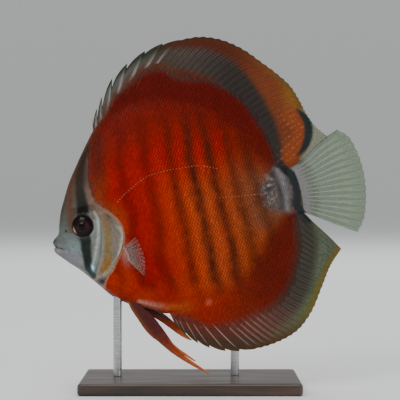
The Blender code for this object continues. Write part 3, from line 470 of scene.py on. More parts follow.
def make_mesh(name, points, faces, shade, uv=None):
    """A smooth mesh in world metres from arrays of faces, with its paint and OFBake map."""
    mesh = bpy.data.meshes.new(name)
    mesh.vertices.add(len(points))
    mesh.vertices.foreach_set("co", points.astype(np.float32).ravel())
    corners = np.concatenate([block.ravel() for block in faces])
    sizes = np.concatenate([np.full(len(block), block.shape[1]) for block in faces])
    mesh.loops.add(len(corners))
    mesh.loops.foreach_set("vertex_index", corners.astype(np.int32))
    mesh.polygons.add(len(sizes))
    mesh.polygons.foreach_set("loop_start", np.concatenate(([0], np.cumsum(sizes)[:-1])).astype(np.int32))
    mesh.update(calc_edges=True)
    mesh.shade_smooth()
    layer = mesh.color_attributes.new("paint", "FLOAT_COLOR", "POINT")
    layer.data.foreach_set("color", shade.astype(np.float32).ravel())
    if uv is not None:
        layer = mesh.uv_layers.new(name="OFBake")
        layer.data.foreach_set("uv", uv[corners].astype(np.float32).ravel())
    made = bpy.data.objects.new(name, mesh)
    bpy.context.collection.objects.link(made)
    return made


def outward_quads(points, quads):
    """The quads turned to face out of the closed shape."""
    a, b, c = (points[quads[:, k], :3] for k in (0, 1, 2))
    volume = np.einsum("ij,ij->i", a, np.cross(b, c)).sum()
    return quads if volume > 0 else quads[:, ::-1]


def away(u, v, place):
    """Distance of points from a place."""
    return np.hypot(u - place[0], v - place[1])


def colour(red, green, blue):
    """A colour given by its screen values, as linear light."""
    screen = np.array([red, green, blue]) / 255
    return np.where(screen <= 0.04045, screen / 12.92, ((screen + 0.055) / 1.055) ** 2.4)


def mottle(u, v, size, seed):
    """Uneven pattern from -1 to 1 with blotches of a size."""
    table = np.random.default_rng(seed).uniform(-1, 1, (64, 64))
    total = np.zeros(np.shape(u))
    for weight, finer in ((0.65, 1), (0.35, 2.3)):
        x, y = u * finer / size + 200, v * finer / size + 200
        i, j = np.floor(x).astype(int), np.floor(y).astype(int)
        s, t = x - i, y - j
        s, t = s * s * (3 - 2 * s), t * t * (3 - 2 * t)
        i, j, after, above = i % 64, j % 64, (i + 1) % 64, (j + 1) % 64
        total += weight * ((1 - s) * (1 - t) * table[i, j] + s * (1 - t) * table[after, j]
                           + (1 - s) * t * table[i, above] + s * t * table[after, above])
    return total


def ring(u, v):
    """Angle and distance of points about the middle of the disc."""
    u, v = u - RING_CENTRE[0], v - RING_CENTRE[1]
    return np.arctan2(v, u), np.hypot(u, v)


def ring_radius(points, angle):
    """Distance of a line round the disc from its middle, at an angle."""
    angles, radii = ring(points[:, 0], points[:, 1])
    order = np.argsort(angles)
    return np.interp(angle, angles[order], radii[order], period=2 * math.pi)


RED_RING = Line(RED_EDGE).dense
BAND_RING = Line(BAND_EDGE).dense
BODY_RING = np.concatenate([BACK_LINE.dense, Line(STALK_END).dense[::-1], UNDER_LINE.dense[::-1]])


def level_in_photo(u, v):
    """Height of a point above the snout as the fish is posed."""
    return u * math.sin(PITCH) + v * math.cos(PITCH)


def bar_strength(u, v):
    """How dark the upright bars make the flank, with their wavy edges."""
    total = np.zeros(np.shape(u))
    stain = mottle(u, v, 5, 11)
    for line, depth in zip(BARS, BAR_DEPTHS):
        points = Line(line).dense[::-1]
        middle = np.interp(v, points[:, 1], points[:, 0])
        width = 3.2 + 0.7 * stain
        total = np.maximum(total, depth * bell(u - middle + 0.6 * stain, width))
    height = level_in_photo(u, v)
    fade = blend(height, -32, -17) * (1 - 0.55 * blend(height, 48, 70))
    return total * fade * (0.9 + 0.25 * mottle(u, v, 3, 12))


def washed(shade, *washes):
    """A paint with washes laid over it in turn.

    The paint and the tone of a wash are a tuple of screen values or an array of colours. Each
    wash has a tone and how strongly it covers each point.
    """
    shade = colour(*shade) if isinstance(shade, tuple) else shade
    for tone, strength in washes:
        tone = colour(*tone) if isinstance(tone, tuple) else tone
        shade = shade + (tone - shade) * strength[..., None]
    return shade


def paint_flank(u, v):
    """The red flank: orange between the bars of its rear half, darker on the back."""
    stain = mottle(u, v, 12, 3)
    glow = blend(u + 3 * stain, 44, 74) * blend(v + 2 * stain, -50, -36)
    glow = glow * (1 - blend(v + 3 * stain, 4, 30))
    orange = washed((184, 58, 17), ((170, 64, 26), blend(u, 64, 78)),
                    ((176, 72, 24), blend(u, 86, 96) * blend(-v, -10, 10)))
    tan = blend(u + 3 * stain, 86, 106) * blend(v, -26, -10) * (1 - blend(v, 8, 26))
    low_rear = blend(0.75 * (u - 100) - 0.66 * (v + 18) + 3 * stain, 3, 13)
    chest = np.maximum(bell(u - 29, 8) * bell(v + 27, 9), bell(u - 38, 9) * bell(v + 37, 5))
    behind_gill = bell(u - 35.5, 3.6) * bell(v - 3, 7)
    shade = washed(
        (162, 19, 5),
        (orange, glow),
        ((132, 74, 46), tan),
        ((122, 42, 14), blend(u, 92, 108) * blend(v, 8, 24) * 0.8),
        ((118, 34, 11), low_rear * 0.85),
        ((122, 20, 6), blend(v + 0.10 * np.abs(u - 62) + 2 * stain, 28, 52)),
        ((186, 48, 11), np.clip(chest * 1.1, 0, 1)),
        ((182, 62, 16), behind_gill * 0.7))
    shade = shade * (1 - 0.20 * blend(u, 78, 98))[..., None]
    dark = washed((84, 7, 2), ((64, 24, 8), blend(u, 56, 78)))
    return washed(shade, (dark, bar_strength(u, v) * (0.70 + 0.10 * blend(u, 50, 76))))


def cover_folds(u, v, shift=0):
    """Fine folds that fan out over the gill cover, from -1 to 1."""
    return np.sin(np.arctan2(v - FOLD_CENTRE[1], u - FOLD_CENTRE[0]) * FOLD_COUNT + shift)


def paint_cover(shade, u, v, stain):
    """The head's paint with the gill cover on it: an olive gold band, streaks and a pale rim."""
    cover, _ = PREOPERCLE_LINE.way(u, v)
    behind = blend(cover, 0.1, 0.9) * (1 - blend(v, 8.5, 11.5))
    olive, share = Line(OLIVE_BAND).way(u, v)
    gold = washed((126, 98, 72), ((132, 114, 76), blend(share, 0.05, 0.35)),
                  ((146, 106, 50), blend(share, 0.62, 0.85)))
    streaks = 0.5 + 0.5 * cover_folds(u, v, 2 * stain)
    rim, share = Line(COVER_EDGE).way(u, v)
    pale = bell(np.abs(rim) - 0.1, 0.72) * (0.35 + 0.4 * bell(share - 0.4, 0.25)) * blend(share, 0, 0.14)
    return washed(
        shade,
        ((132, 122, 110), behind),
        ((92, 74, 60), bell(away(u, v, COVER_SHADOW), 4.6) * behind * 0.9),
        (gold, (1 - blend(np.abs(olive) + 0.5 * stain, 1.3, 2.9)) * 0.92 * behind),
        ((116, 104, 92), behind * blend(u, 28, 31) * streaks * 0.35),
        ((196, 188, 172), pale * behind),
        ((66, 68, 66), bell(cover + 0.1, 0.42) * 0.45 * (1 - blend(v, 7, 10))))


def paint_face(shade, u, v, stain):
    """The head's paint with the cheek line, the eye bar, a painted blue-white highlight on the cheek,
    lips and nostril.
    """
    cheek, _ = Line(CHEEK_LINE).way(u, v)
    bar, share = Line(EYE_BAR).way(u, v)
    half = np.interp(share, np.linspace(0, 1, len(EYE_BAR_HALVES)), EYE_BAR_HALVES)
    soft = 0.55 + 0.25 * (1 - blend(v, 2, 8)) + 0.75 * blend(v, 9, 18)
    dark = washed((25, 21, 17), ((40, 46, 42), 1 - blend(v, -2, 3)), ((36, 24, 18), blend(v, 14, 26)))
    ahead, above = u - CHEEK_HIGHLIGHT[0], v - CHEEK_HIGHLIGHT[1]
    cheek_highlight = np.hypot(ahead / 0.85, (above - 0.3 * ahead) / 1.9)
    throat = np.hypot((u - THROAT_SPOT[0]) / 1.5, v - THROAT_SPOT[1])
    lower_lip = np.hypot(u - LOWER_LIP[0], (v - LOWER_LIP[1]) / 0.8)
    return washed(
        shade,
        ((172, 178, 168), bell(cheek, 0.75) * (1 - 0.4 * blend(v, 6, 10))),
        (dark, 1 - blend(np.abs(bar) + 0.35 * stain, half - soft, half + soft)),
        ((112, 120, 120), bell(away(u, v, BROW_SPOT), 1.2) * 0.75),
        # painted highlight on the cheek: blue, with a white middle
        ((84, 168, 196), bell(cheek_highlight, 1.05)),
        ((255, 255, 255), bell(cheek_highlight, 0.68)),
        ((34, 30, 28), bell(throat, 1.7)),
        ((34, 36, 36), bell(away(u, v, UPPER_LIP), 0.9) * 0.9),
        ((34, 36, 36), bell(away(u, v, LIP_CORNER), 0.6) * 0.9),
        ((142, 146, 144), bell(lower_lip, 1.3) * 0.8),
        ((44, 44, 42), bell(away(u, v, NOSTRIL_PLACE), 0.5) * 0.8),
        ((30, 25, 24), 1 - blend(away(u, v, EYE_PLACE), EYE_RADIUS + 0.1, EYE_RADIUS + 0.7)))


def paint_head(u, v):
    """The grey head with its eye bar, pale cheek line, olive gill cover and lilac jaw."""
    stain = mottle(u, v, 3.2, 5)
    fine = mottle(u, v, 1.1, 6)
    angle, radius = ring(u, v)
    edge = ring_radius(BODY_RING, angle) - radius
    jaw, _ = Line(JAW_STREAK).way(u, v, 20)
    top = blend(v, 6, 9.5) * (1 - blend(v, 15, 21)) * blend(u, 19.5, 22)
    nape = washed((118, 90, 76), ((74, 44, 36), blend(v, 17, 30)))
    shade = washed(
        (78, 80, 71),
        ((80, 72, 60), blend(v, 6, 22) * 0.85),
        ((52, 44, 34), blend(v, 22, 34) * 0.7),
        ((92, 98, 92), bell(u - 4, 6) * bell(v - 3, 6)),
        ((120, 134, 134), bell(away(u, v, CHEEK_PALE), 6.5)),
        ((120, 126, 122), blend(-v, 4, 12) * 0.8),
        ((136, 128, 142), bell(jaw, 1.9) * 0.8),
        ((40, 38, 30), bell(edge, 1.3) * blend(v, 4, 16) * 0.85),
        ((134, 138, 130), blend(u, 17.5, 20) * blend(-v, -9, -6) * 0.8),
        ((112, 92, 80), top * 0.85),
        (nape, blend(u, 20.2, 22.4) * blend(v, 13, 17) * 0.9))
    shade = paint_face(paint_cover(shade, u, v, stain), u, v, stain)
    return shade * (1 + 0.10 * stain + 0.10 * fine)[..., None]


def paint_stalk(u, v):
    """The silver lilac tail stalk with dark mottling and a paler band before the black bar."""
    coarse = mottle(u, v, 3.6, 21)
    fine = mottle(u, v, 1.2, 22)
    gold = blend(mottle(u, v, 1.5, 23), 0.1, 0.6) * bell(v + 5, 5.5)
    dark, _ = Line(STALK_SHADOW).way(u, v, 16)
    pale, _ = Line(PALE_BAND).way(u, v, 16)
    return washed(
        (92, 82, 80),
        ((46, 38, 36), blend(coarse + 0.4 * fine, -0.25, 0.45) * 0.8),
        ((168, 162, 166), blend(fine, 0.1, 0.6) * bell(u - 112, 3.6) * 0.75),
        ((132, 112, 66), gold * 0.6),
        ((58, 54, 54), bell(dark, 1.5) * 0.6),
        ((124, 121, 126), bell(pale + 0.4 * coarse, 1.6) * 0.8))


def black_bar(u, v):
    """How much a point lies in the black bar at the root of the tail."""
    distance, share = Line(BLACK_BAR).way(u, v, 40)
    half = 2 - 0.6 * bell(share, 0.10)
    return 1 - blend(np.abs(distance) + 0.3 * mottle(u, v, 1.6, 31), half - 0.5, half + 0.5)


def back_fringe(shade, u, v):
    """The paint with red brown where the back's red runs out into the front of the dorsal fin."""
    angle, radius = ring(u, v)
    past_red = radius - ring_radius(RED_RING, angle)
    amount = bell(past_red - 1 - 0.8 * mottle(u, v, 2, 52), 1.9) * blend(angle, 1.05, 1.35)
    brown = washed((84, 34, 17), ((90, 48, 22), blend(angle, 1.4, 1.6)))
    return washed(shade, (brown, amount * 0.75))


def paint_front(shade, u, v):
    """The paint of the fish's front with the head on it, inside a rusty border."""
    head, _ = MARGIN_LINE.way(u, v)
    head = head + 1.7 * blend(-v, 14, 21) + 1.3 * blend(v, 17, 26)
    nape = blend(v, 7, 15)
    wide = 2.4 + 2.2 * blend(v, 12, 24)
    rust = bell(head + wide, wide) * blend(v, 4, 9) * (0.80 + 0.18 * mottle(u, v, 1.6, 45))
    rusty = washed((136, 54, 22), ((92, 32, 19), blend(v, 17, 34)))
    fuzz = (1.6 * mottle(u, v, 2.2, 46) + 1.2 * mottle(u, v, 1.1, 43)) * nape
    share = blend(head + fuzz, -1.1 - 1.5 * nape, 0.7 + 0.3 * nape)
    border = washed((176, 122, 88), ((84, 46, 30), blend(v, 6, 20)))
    return washed(shade, (rusty, rust), (paint_head(u, v), share),
                  (border, (4 * share * (1 - share)) ** 1.5 * 0.85))


def paint_body(u, v, angle, radius, body, stain):
    """The flank with its dark back, pale belly streak, pink spots and mottled stalk."""
    upper = (v > LEVEL_LINE.value(u))[..., None]
    front = blend(-angle, 0.9, 1.7)
    crest = bell(radius - body + 2.4, 2.4) * blend(angle, 0.5, 1.1) * (1 - blend(angle, 2, 2.4))
    base = np.where(upper, colour(88, 13, 5), washed((92, 19, 6), ((138, 40, 14), front)))
    base = base * (1 + 0.12 * stain)[..., None]
    streak, share = Line(BELLY_STREAK).way(u, v, 30)
    pale = washed((216, 156, 134), ((204, 94, 42), blend(share, 0.15, 0.55)))
    streak = bell(streak - 0.2 - 1.6 * share + 0.6 * stain, 1.1 + 2.4 * share) * (0.80 - 0.16 * share)
    pectoral_root = np.hypot(u - 34.2, (v + 13.8) / 2.1)
    patch_edge, _ = Line(STALK_PATCH).way(u, v, 30)
    ragged = 1.6 * mottle(u, v, 2.4, 42) + 1.4 * mottle(u, v, 0.9, 44)
    stalk = blend(patch_edge + ragged, -1, 4.2) * (1 - blend(radius, body - 0.2, body + 1.2))
    return washed(
        paint_flank(u, v),
        ((124, 34, 18), crest * 0.3),
        (base, blend(radius - body + 2.5 * stain, -9, 3.4) * (0.9 - 0.35 * front * (angle < 0))),
        (pale, streak * blend(share, 0, 0.06) * blend(1 - share, 0, 0.4)),
        ((178, 134, 116), bell(pectoral_root, 2.3) * 0.72),
        ((206, 92, 66), bell(away(u, v, PINK_SPOT), 1.5) * 0.9),
        (paint_stalk(u, v), stalk * (u > 104)))


def paint(u, v, comb=0):
    """Colour of the body and the median fins anywhere in the fish's outline.

    comb moves the borders of the grey band along the rays, so that rays and skin interlock.
    """
    angle, radius = ring(u, v)
    red, band, body = (ring_radius(line, angle) for line in (RED_RING, BAND_RING, BODY_RING))
    stain = mottle(u, v, 7, 41)
    combed = radius - 1.5 * comb + 0.7 * stain
    upper = (v > LEVEL_LINE.value(u))[..., None]
    on_fin = blend(radius, body - 1.2, body + 0.4)
    soft = 2.2 + 3.2 * np.where(angle > 0, bell(angle - 1.55, 0.3), blend(-angle, 0.15, 0.45))
    grey = np.where(upper, washed((48, 41, 37), ((70, 60, 53), blend(angle, 1, 1.5))),
                    washed((54, 50, 42), ((98, 54, 44), blend(-angle, 0.85, 1.35))))
    above = washed((112, 52, 22), ((80, 31, 12), blend(angle, 0.78, 1.15)),
                   ((134, 86, 22), bell(np.hypot(u - 134.5, (v - 47) / 1.7), 4.6)))
    below = washed((78, 88, 62), ((82, 52, 30), blend(-angle, 0.95, 1.35)))
    shade = washed(
        paint_body(u, v, angle, radius, body, stain),
        (grey, blend(combed, red - soft, red + 1.6) * on_fin),
        (np.where(upper, above, below), blend(combed, band - 2.2, band + 2.6) * on_fin))
    near = u < HEAD_PAINT_END
    if near.any():
        shade[near] = paint_front(shade[near], u[near], v[near])
    return back_fringe(washed(shade, (BLACK, black_bar(u, v) * (u > 118))), u, v)


def way_to_segment(u, v, start, end):
    """Distance of points to a straight stretch, and the share along it of its nearest point."""
    run = np.subtract(end, start)
    share = np.clip(((u - start[0]) * run[0] + (v - start[1]) * run[1]) / (run @ run), 0, 1)
    return np.hypot(u - start[0] - share * run[0], v - start[1] - share * run[1]), share


def head_relief(u, v):
    """Height added to the head's sides: lips, jaw, eye rim, nostril, cheek and gill cover."""
    way, share = way_to_segment(u, v, MOUTH_FRONT, MOUTH_CORNER)
    gape = 1 - blend(share, 0.45, 1)
    relief = (0.62 * bell(way - 1.15, 0.75) - 0.95 * bell(way, 0.30)) * (0.25 + 0.75 * gape)
    jaw, _ = Line(JAW_CREASE).way(u, v, 30)
    relief += 0.20 * bell(jaw - 0.8, 0.8) - 0.24 * bell(jaw, 0.32)
    fold, share = Line(CHIN_FOLD).way(u, v, 30)
    relief -= 0.16 * bell(fold, 0.35) * blend(share, 0, 0.1) * (1 - blend(share, 0.85, 1))
    relief += 0.10 * bell(fold - 0.9, 0.9)
    to_eye = away(u, v, EYE_PLACE)
    relief += 0.30 * bell(to_eye - EYE_RADIUS - 0.75, 0.7)
    relief -= 0.12 * bell(to_eye - EYE_RADIUS - 2.2, 0.6)
    relief -= 2.6 * (1 - blend(to_eye, EYE_RADIUS - 0.55, EYE_RADIUS + 0.05))
    to_nostril = np.hypot((u - NOSTRIL_PLACE[0]) * 1.2, v - NOSTRIL_PLACE[1])
    relief += 0.2 * bell(to_nostril - 0.85, 0.35) - 0.9 * bell(to_nostril, 0.45)
    for place in HEAD_PORES:
        relief -= 0.28 * bell(away(u, v, place), 0.30)
    relief += 0.3 * bell(away(u, v, CHEEK_SWELL), 6)
    cover, share = PREOPERCLE_LINE.way(u, v)
    ends = blend(share, 0.02, 0.12) * (1 - blend(share, 0.9, 0.99))
    relief += (0.28 * bell(cover + 0.9, 0.75) - 0.24 * bell(cover - 0.05, 0.42)) * ends
    margin, share = GILL_LINE.way(u, v)
    ends = blend(share, 0.02, 0.14) * (1 - blend(share, 0.86, 0.99))
    raised = 0.5 * blend(margin, -0.02, 0.12) * (1 - blend(margin, 2, 9))
    relief += (raised - 0.14 * bell(margin - 1.7, 0.45) - 0.38 * bell(margin + 0.35, 0.35)) * ends
    return relief + 0.05 * (cover_folds(u, v) * bell(margin - 1, 1.4) * ends)


def unwrap(u, v, side):
    """Place on the unwrapped skin: each side of the body laid flat, one above the other."""
    return np.stack([0.02 + (u + 1) * UNWRAP_SCALE,
                     0.25 + 0.5 * (side > 0) + (v - 7) * UNWRAP_SCALE], axis=-1)


def scaled(u, v):
    """Where the scales of the flank and the fleshy fin bases grow."""
    angle, radius = ring(u, v)
    head, _ = MARGIN_LINE.way(u, v)
    body = ring_radius(BODY_RING, angle)
    finned = np.where(v > LEVEL_LINE.value(u), u > 33, u > 50)
    red = ring_radius(RED_RING, angle)
    on_fin = finned & (np.abs(angle) > 0.28)
    border = np.where(on_fin, red + 0.4 + 1.4 * mottle(u, v, 2, 71), body - 0.9)
    return (radius < border) & (head < -0.8) & (u < 122.6)


def face_scaled(u, v):
    """Where the small scales of the cheek and the gill cover grow."""
    head, _ = MARGIN_LINE.way(u, v)
    cover, _ = PREOPERCLE_LINE.way(u, v)
    to_eye = away(u, v, EYE_PLACE)
    angle, radius = ring(u, v)
    inside = (head > 1.1) & (radius < ring_radius(BODY_RING, angle) - 3.2)
    cheek = (u > 11.5) & (v < 15) & (cover < -1.2)
    cover_plate = (cover > 0.9) & (v < 11)
    return inside & (to_eye > EYE_RADIUS + 1.5) & (cheek | cover_plate)


def with_alpha(shade, alpha=1):
    """The colours with how solid they are as a fourth value."""
    return np.concatenate([shade, np.broadcast_to(alpha, shade.shape[:-1])[..., None]], axis=-1)


def make_skin():
    """One skin over the head, the gill covers, the trunk and the tail stalk."""
    across = np.linspace(0, 1, SKIN_COLUMNS)
    across = across + 0.35 * (0.5 - 0.5 * np.cos(math.pi * across) - across)
    head_rows = np.linspace(0, 1, HEAD_ROWS) ** 0.85
    head = patch(Line(THROAT), Line(FOREHEAD), Line(MOUTH), MARGIN_LINE, head_rows, across)
    low = Line(BELLY[:-1] + ANAL_BASE + STALK_BOTTOM[1:])
    high = Line(NAPE[:-1] + DORSAL_BASE + STALK_TOP[1:])
    trunk_rows = np.linspace(0, 1, TRUNK_ROWS) ** 1.15
    trunk = patch(low, high, MARGIN_LINE, Line(STALK_END), trunk_rows, across)
    grid = np.concatenate([head, trunk[1:]])
    u, v = grid[..., 0], grid[..., 1]
    half = body_half(u, v) + head_relief(u, v) - SCALE_DEPTH * scaled(u, v)
    near = np.stack([u, -half, v], axis=-1)
    far = np.stack([u, half, v], axis=-1)
    rim = RIM_HALF * 0.8
    low_rim = rim * (1 - blend(u[:, 0], 46, 50))
    high_rim = rim * (1 - blend(u[:, -1], 29, 32))
    points, quads = shell(near, far, {"low": low_rim, "high": high_rim, "start": 0.9}, 5)
    quads = outward_quads(points, quads)
    u, y, v = points[:, :3].T
    # painted shade: the skin is darker under the scales, where it shows between them
    shade = paint(u, v) * (1 - 0.3 * scaled(u, v))[:, None]
    return make_mesh("skin", posed(points[:, :3]), [quads], with_alpha(shade), unwrap(u, v, y))


def sheet(u, v, middle, half, extra):
    """Points and quads of a fin of a half thickness about its middle, with further values."""
    near, far = (np.concatenate([np.stack([u, middle + sign * half, v], axis=-1), extra], axis=-1)
                 for sign in (-1, 1))
    points, quads = shell(near, far, {"high": 0.15, "start": 0.15, "end": 0.15}, 2)
    return points, outward_quads(points, quads)


def merged(parts):
    """Points and quads of several parts as one set."""
    starts = np.cumsum([0] + [len(points) for points, _ in parts])
    return (np.concatenate([points for points, _ in parts]),
            np.concatenate([quads + start for (_, quads), start in zip(parts, starts)]))


def off_ray(phase, spacing):
    """Distance across a fin from the nearest ray, negative before it."""
    return ((phase + 0.5) % 1 - 0.5) * spacing


def ray_ridge(phase, spacing, share, branches):
    """Height from 0 to 1 of the rays across a fin, by the place between two rays.

    phase is 0 at a ray and 1 at the next one. A soft ray splits in two, and each half again.
    """
    wrapped = off_ray(phase, 1)
    first = 0.20 * blend(share, 0.30, 0.75) * branches
    second = 0.11 * blend(share, 0.62, 1) * branches
    total = np.zeros(np.broadcast(phase, share).shape)
    for a in (-1, 1):
        for b in (-1, 1):
            place = wrapped - a * first - b * second
            total = np.maximum(total, bell(place * spacing, 0.26 - 0.08 * share))
    return total


def fin_columns(spines, depths, soft, spine_steps=20, soft_steps=12):
    """Shares along a fin with the place between its rays, how soft they are and the notches."""
    shares, phases, softness, notches = [], [], [], []
    for start, end, depth in zip(spines, spines[1:], depths):
        for step in range(spine_steps):
            t = (step / spine_steps) ** 1.4
            shares.append(start + t * (end - start))
            phases.append(t)
            softness.append(0.0)
            notches.append(depth * float(np.interp(t, NOTCH_PLACES, NOTCH_DEPTHS)))
    for k in range(soft):
        for step in range(soft_steps):
            t = step / soft_steps
            shares.append(spines[-1] + (1.0 - spines[-1]) * (k + t) / soft)
            phases.append(t)
            softness.append(1.0)
            notches.append(0.010 * math.sin(math.pi * t) ** 2)
    shares.append(1.0)
    phases.append(0.0)
    softness.append(1.0)
    notches.append(0.0)
    return (np.array(values) for values in (shares, phases, softness, notches))


def median_fin(base, margin, last_ray, lean, rays):
    """The dorsal or anal fin, a rayed skin that grows out of the fleshy base.

    Gives its points with, for each, the height of the ray ridge, the share of the way out, how
    soft its rays are and the distance behind the nearest ray.
    """
    low = Line(base)
    high = Line(margin)
    along, phase, soft, notches = fin_columns(*rays)
    along, phase, soft = along[:, None], phase[:, None], soft[:, None]
    across = np.linspace(-0.03, 1, FIN_ROWS)[None, :]
    share = np.maximum(across, 0)
    reach = share * (1 - notches[:, None])
    swept = along + (lean(along) - along) * reach ** RAY_BOW
    start = Line([low.at(0), margin[0]])
    end = Line([tuple(low.at(1)), *last_ray[1:]])
    grid = patch(low, high, start, end, swept, reach)
    inward = grid[:, :1] - np.array(RING_CENTRE)
    inward = inward / np.linalg.norm(inward, axis=-1)[..., None]
    grid = grid + inward * np.minimum(across, 0)[..., None] * 40
    u, v = grid[..., 0], grid[..., 1]
    half, sway, _ = fin_surface(u, v)
    half = np.where(across < 0, half - 0.25, half)
    share, soft = np.broadcast_to(share, u.shape), np.broadcast_to(soft, u.shape)
    spacing = np.linalg.norm(np.gradient(grid, axis=0), axis=-1) / np.gradient(along, axis=0)
    cells = np.interp(along, rays[0][:-1], np.diff(rays[0]))
    spacing = spacing * np.where(soft > 0.5, (1 - rays[0][-1]) / rays[2], cells)
    ridge = ray_ridge(phase, spacing, share, soft)
    height = np.where(soft > 0.5, 0.11, 0.30) * blend(share, 0.12, 0.5)
    half = half + ridge * height - 0.04 * (1 - ridge) * blend(share, 0.4, 0.9)
    extra = np.stack([ridge, share, soft, off_ray(phase, spacing)], axis=-1)
    return sheet(u, v, sway, half, extra)


def paint_spines(shade, u, v, share, soft, aside, angle, skin, spiny):
    """The dorsal's paint with its grey membrane, pale streaks behind the spines and dark edge."""
    membrane = washed(
        (84, 86, 78),
        ((46, 58, 42), blend(angle, 2, 2.25)),
        ((64, 54, 34), 1 - blend(angle, 1.50, 1.80)),
        ((36, 44, 26), blend(share, 0.80, 0.98)))
    behind = np.maximum(bell(aside + 0.9, 1.7 - 0.9 * share) * 0.72, bell(aside, 0.55))
    behind = behind * (1 - blend(share, 0.70, 0.95))
    return washed(
        back_fringe(washed(shade, (membrane, spiny)), u, v),
        ((150, 150, 152), behind * (1 - soft) * skin * 0.82),
        ((46, 34, 12), blend(share, 0.955, 1) * soft * blend(angle, 0.8, 1.3) * 0.85),
        ((96, 76, 30), blend(share, 0.86, 0.99) * soft * bell(angle - 0.62, 0.32) * 0.8))


def paint_lobe(shade, u, v, ridge, share, aside):
    """The dorsal's paint with its rear lobe's orange field and black crescent, and how clear it is."""
    lobe, place = Line(CRESCENT).way(u, v, 40)
    in_lobe = (u > 118) * blend(v, 12, 15)
    dots = blend(np.sin(share * 72 + 1.5 * np.sin(u)), 0.1, 0.8)
    field = blend(lobe, -13, -9) * (1 - blend(lobe, -2.2, -0.8)) * in_lobe * blend(-v, -44, -36)
    clear = blend(lobe, 0.6, 2.6) * in_lobe * blend(-v, -40.5, -36.5) * blend(u, 129.5, 131.5)
    width = 2.35 * np.sin(math.pi * np.clip(place, 0.02, 0.98)) ** 0.55
    shade = washed(
        shade,
        ((136, 60, 22), field * blend(lobe, -10, -6) * 0.8),
        ((160, 116, 82), field * dots * bell(aside, 0.36) * 0.5),
        ((108, 112, 84), clear),
        ((150, 156, 128), clear * ridge * 0.6),
        ((28, 40, 37), (1 - blend(np.abs(lobe), width - 1, width + 0.7)) * in_lobe))
    return shade, clear


def make_dorsal():
    """The dorsal fin: pale spines, a grey band, an orange margin and a clear rear lobe."""
    points, quads = median_fin(
        DORSAL_BASE + STALK_TOP[1:], DORSAL_MARGIN, DORSAL_LAST_RAY, Line(DORSAL_LEAN).value,
        (DORSAL_SPINES, DORSAL_NOTCHES, DORSAL_SOFT))
    u, _, v, ridge, share, soft, aside = points.T
    angle, radius = ring(u, v)
    red, band = ring_radius(RED_RING, angle), ring_radius(BAND_RING, angle)
    skin = blend(radius, red - 0.6, red + 1.6)
    spiny = blend(angle, 1.38, 1.66) * skin
    streaky = 0.55 - 0.35 * blend(radius, band - 1, band + 3)
    rayed = streaky * (ridge - 0.35) * (soft * skin) * blend(share, 0.2, 0.45)
    shade = paint(u, v, ridge * soft) * (1 + rayed)[:, None]
    shade = paint_spines(shade, u, v, share, soft, aside, angle, skin, spiny)
    shade, clear = paint_lobe(shade, u, v, ridge, share, aside)
    alpha = 1 - 0.14 * spiny * (1 - 0.7 * bell(aside, 0.4)) - 0.50 * clear * (1 - 0.55 * ridge)
    return make_mesh("dorsal_skin", posed(points[:, :3]), [quads], with_alpha(shade, alpha))


def make_anal():
    """The anal fin: maroon with pale spines in front, then a grey band and an olive margin."""
    points, quads = median_fin(
        ANAL_BASE + STALK_BOTTOM[1:], ANAL_MARGIN, ANAL_LAST_RAY, Line(ANAL_LEAN).value,
        (ANAL_SPINES, ANAL_NOTCHES, ANAL_SOFT))
    u, _, v, ridge, share, soft, aside = points.T
    angle, radius = ring(u, v)
    red, band = ring_radius(RED_RING, angle), ring_radius(BAND_RING, angle)
    skin = blend(radius, red - 0.6, red + 1.8)
    low = blend(-angle, 0.85, 1.35)
    rear = (1 - blend(-angle, 0.62, 0.95)) * blend(radius, band - 0.5, band + 3)
    streak = bell(aside, 0.34) * blend(share, 0.42, 0.60) * (1 - blend(share, 0.86, 0.98))
    gold = blend(share, 0.86, 0.94) * (1 - blend(-angle, 0.85, 1.15))
    pale = washed((112, 110, 102), ((140, 104, 98), low))
    maroon = washed((108, 38, 27), ((68, 54, 40), blend(share, 0.45, 0.95)))
    shade = washed(paint(u, v, ridge * soft), (pale, ridge * soft * skin * (0.18 + 0.14 * low)))
    shade = shade * (1 + 0.20 * (ridge - 0.35) * soft * blend(share, 0.3, 0.6))[:, None]
    shade = washed(
        shade,
        ((66, 78, 54), rear * 0.7),
        (maroon, blend(-angle, 1.15, 1.45) * skin * 0.8),
        ((196, 166, 156), streak * np.where(soft < 0.5, 0.75, 0.4 * blend(-angle, 1.1, 1.4))),
        ((104, 90, 32), gold * 0.85),
        ((84, 58, 26), blend(share, 0.9, 0.98) * blend(-angle, 0.9, 1.2) * 0.7))
    alpha = 1 - 0.28 * rear * (1 - 0.6 * ridge) * (1 - 0.6 * gold)
    return make_mesh("anal_skin", posed(points[:, :3]), [quads], with_alpha(shade, alpha))


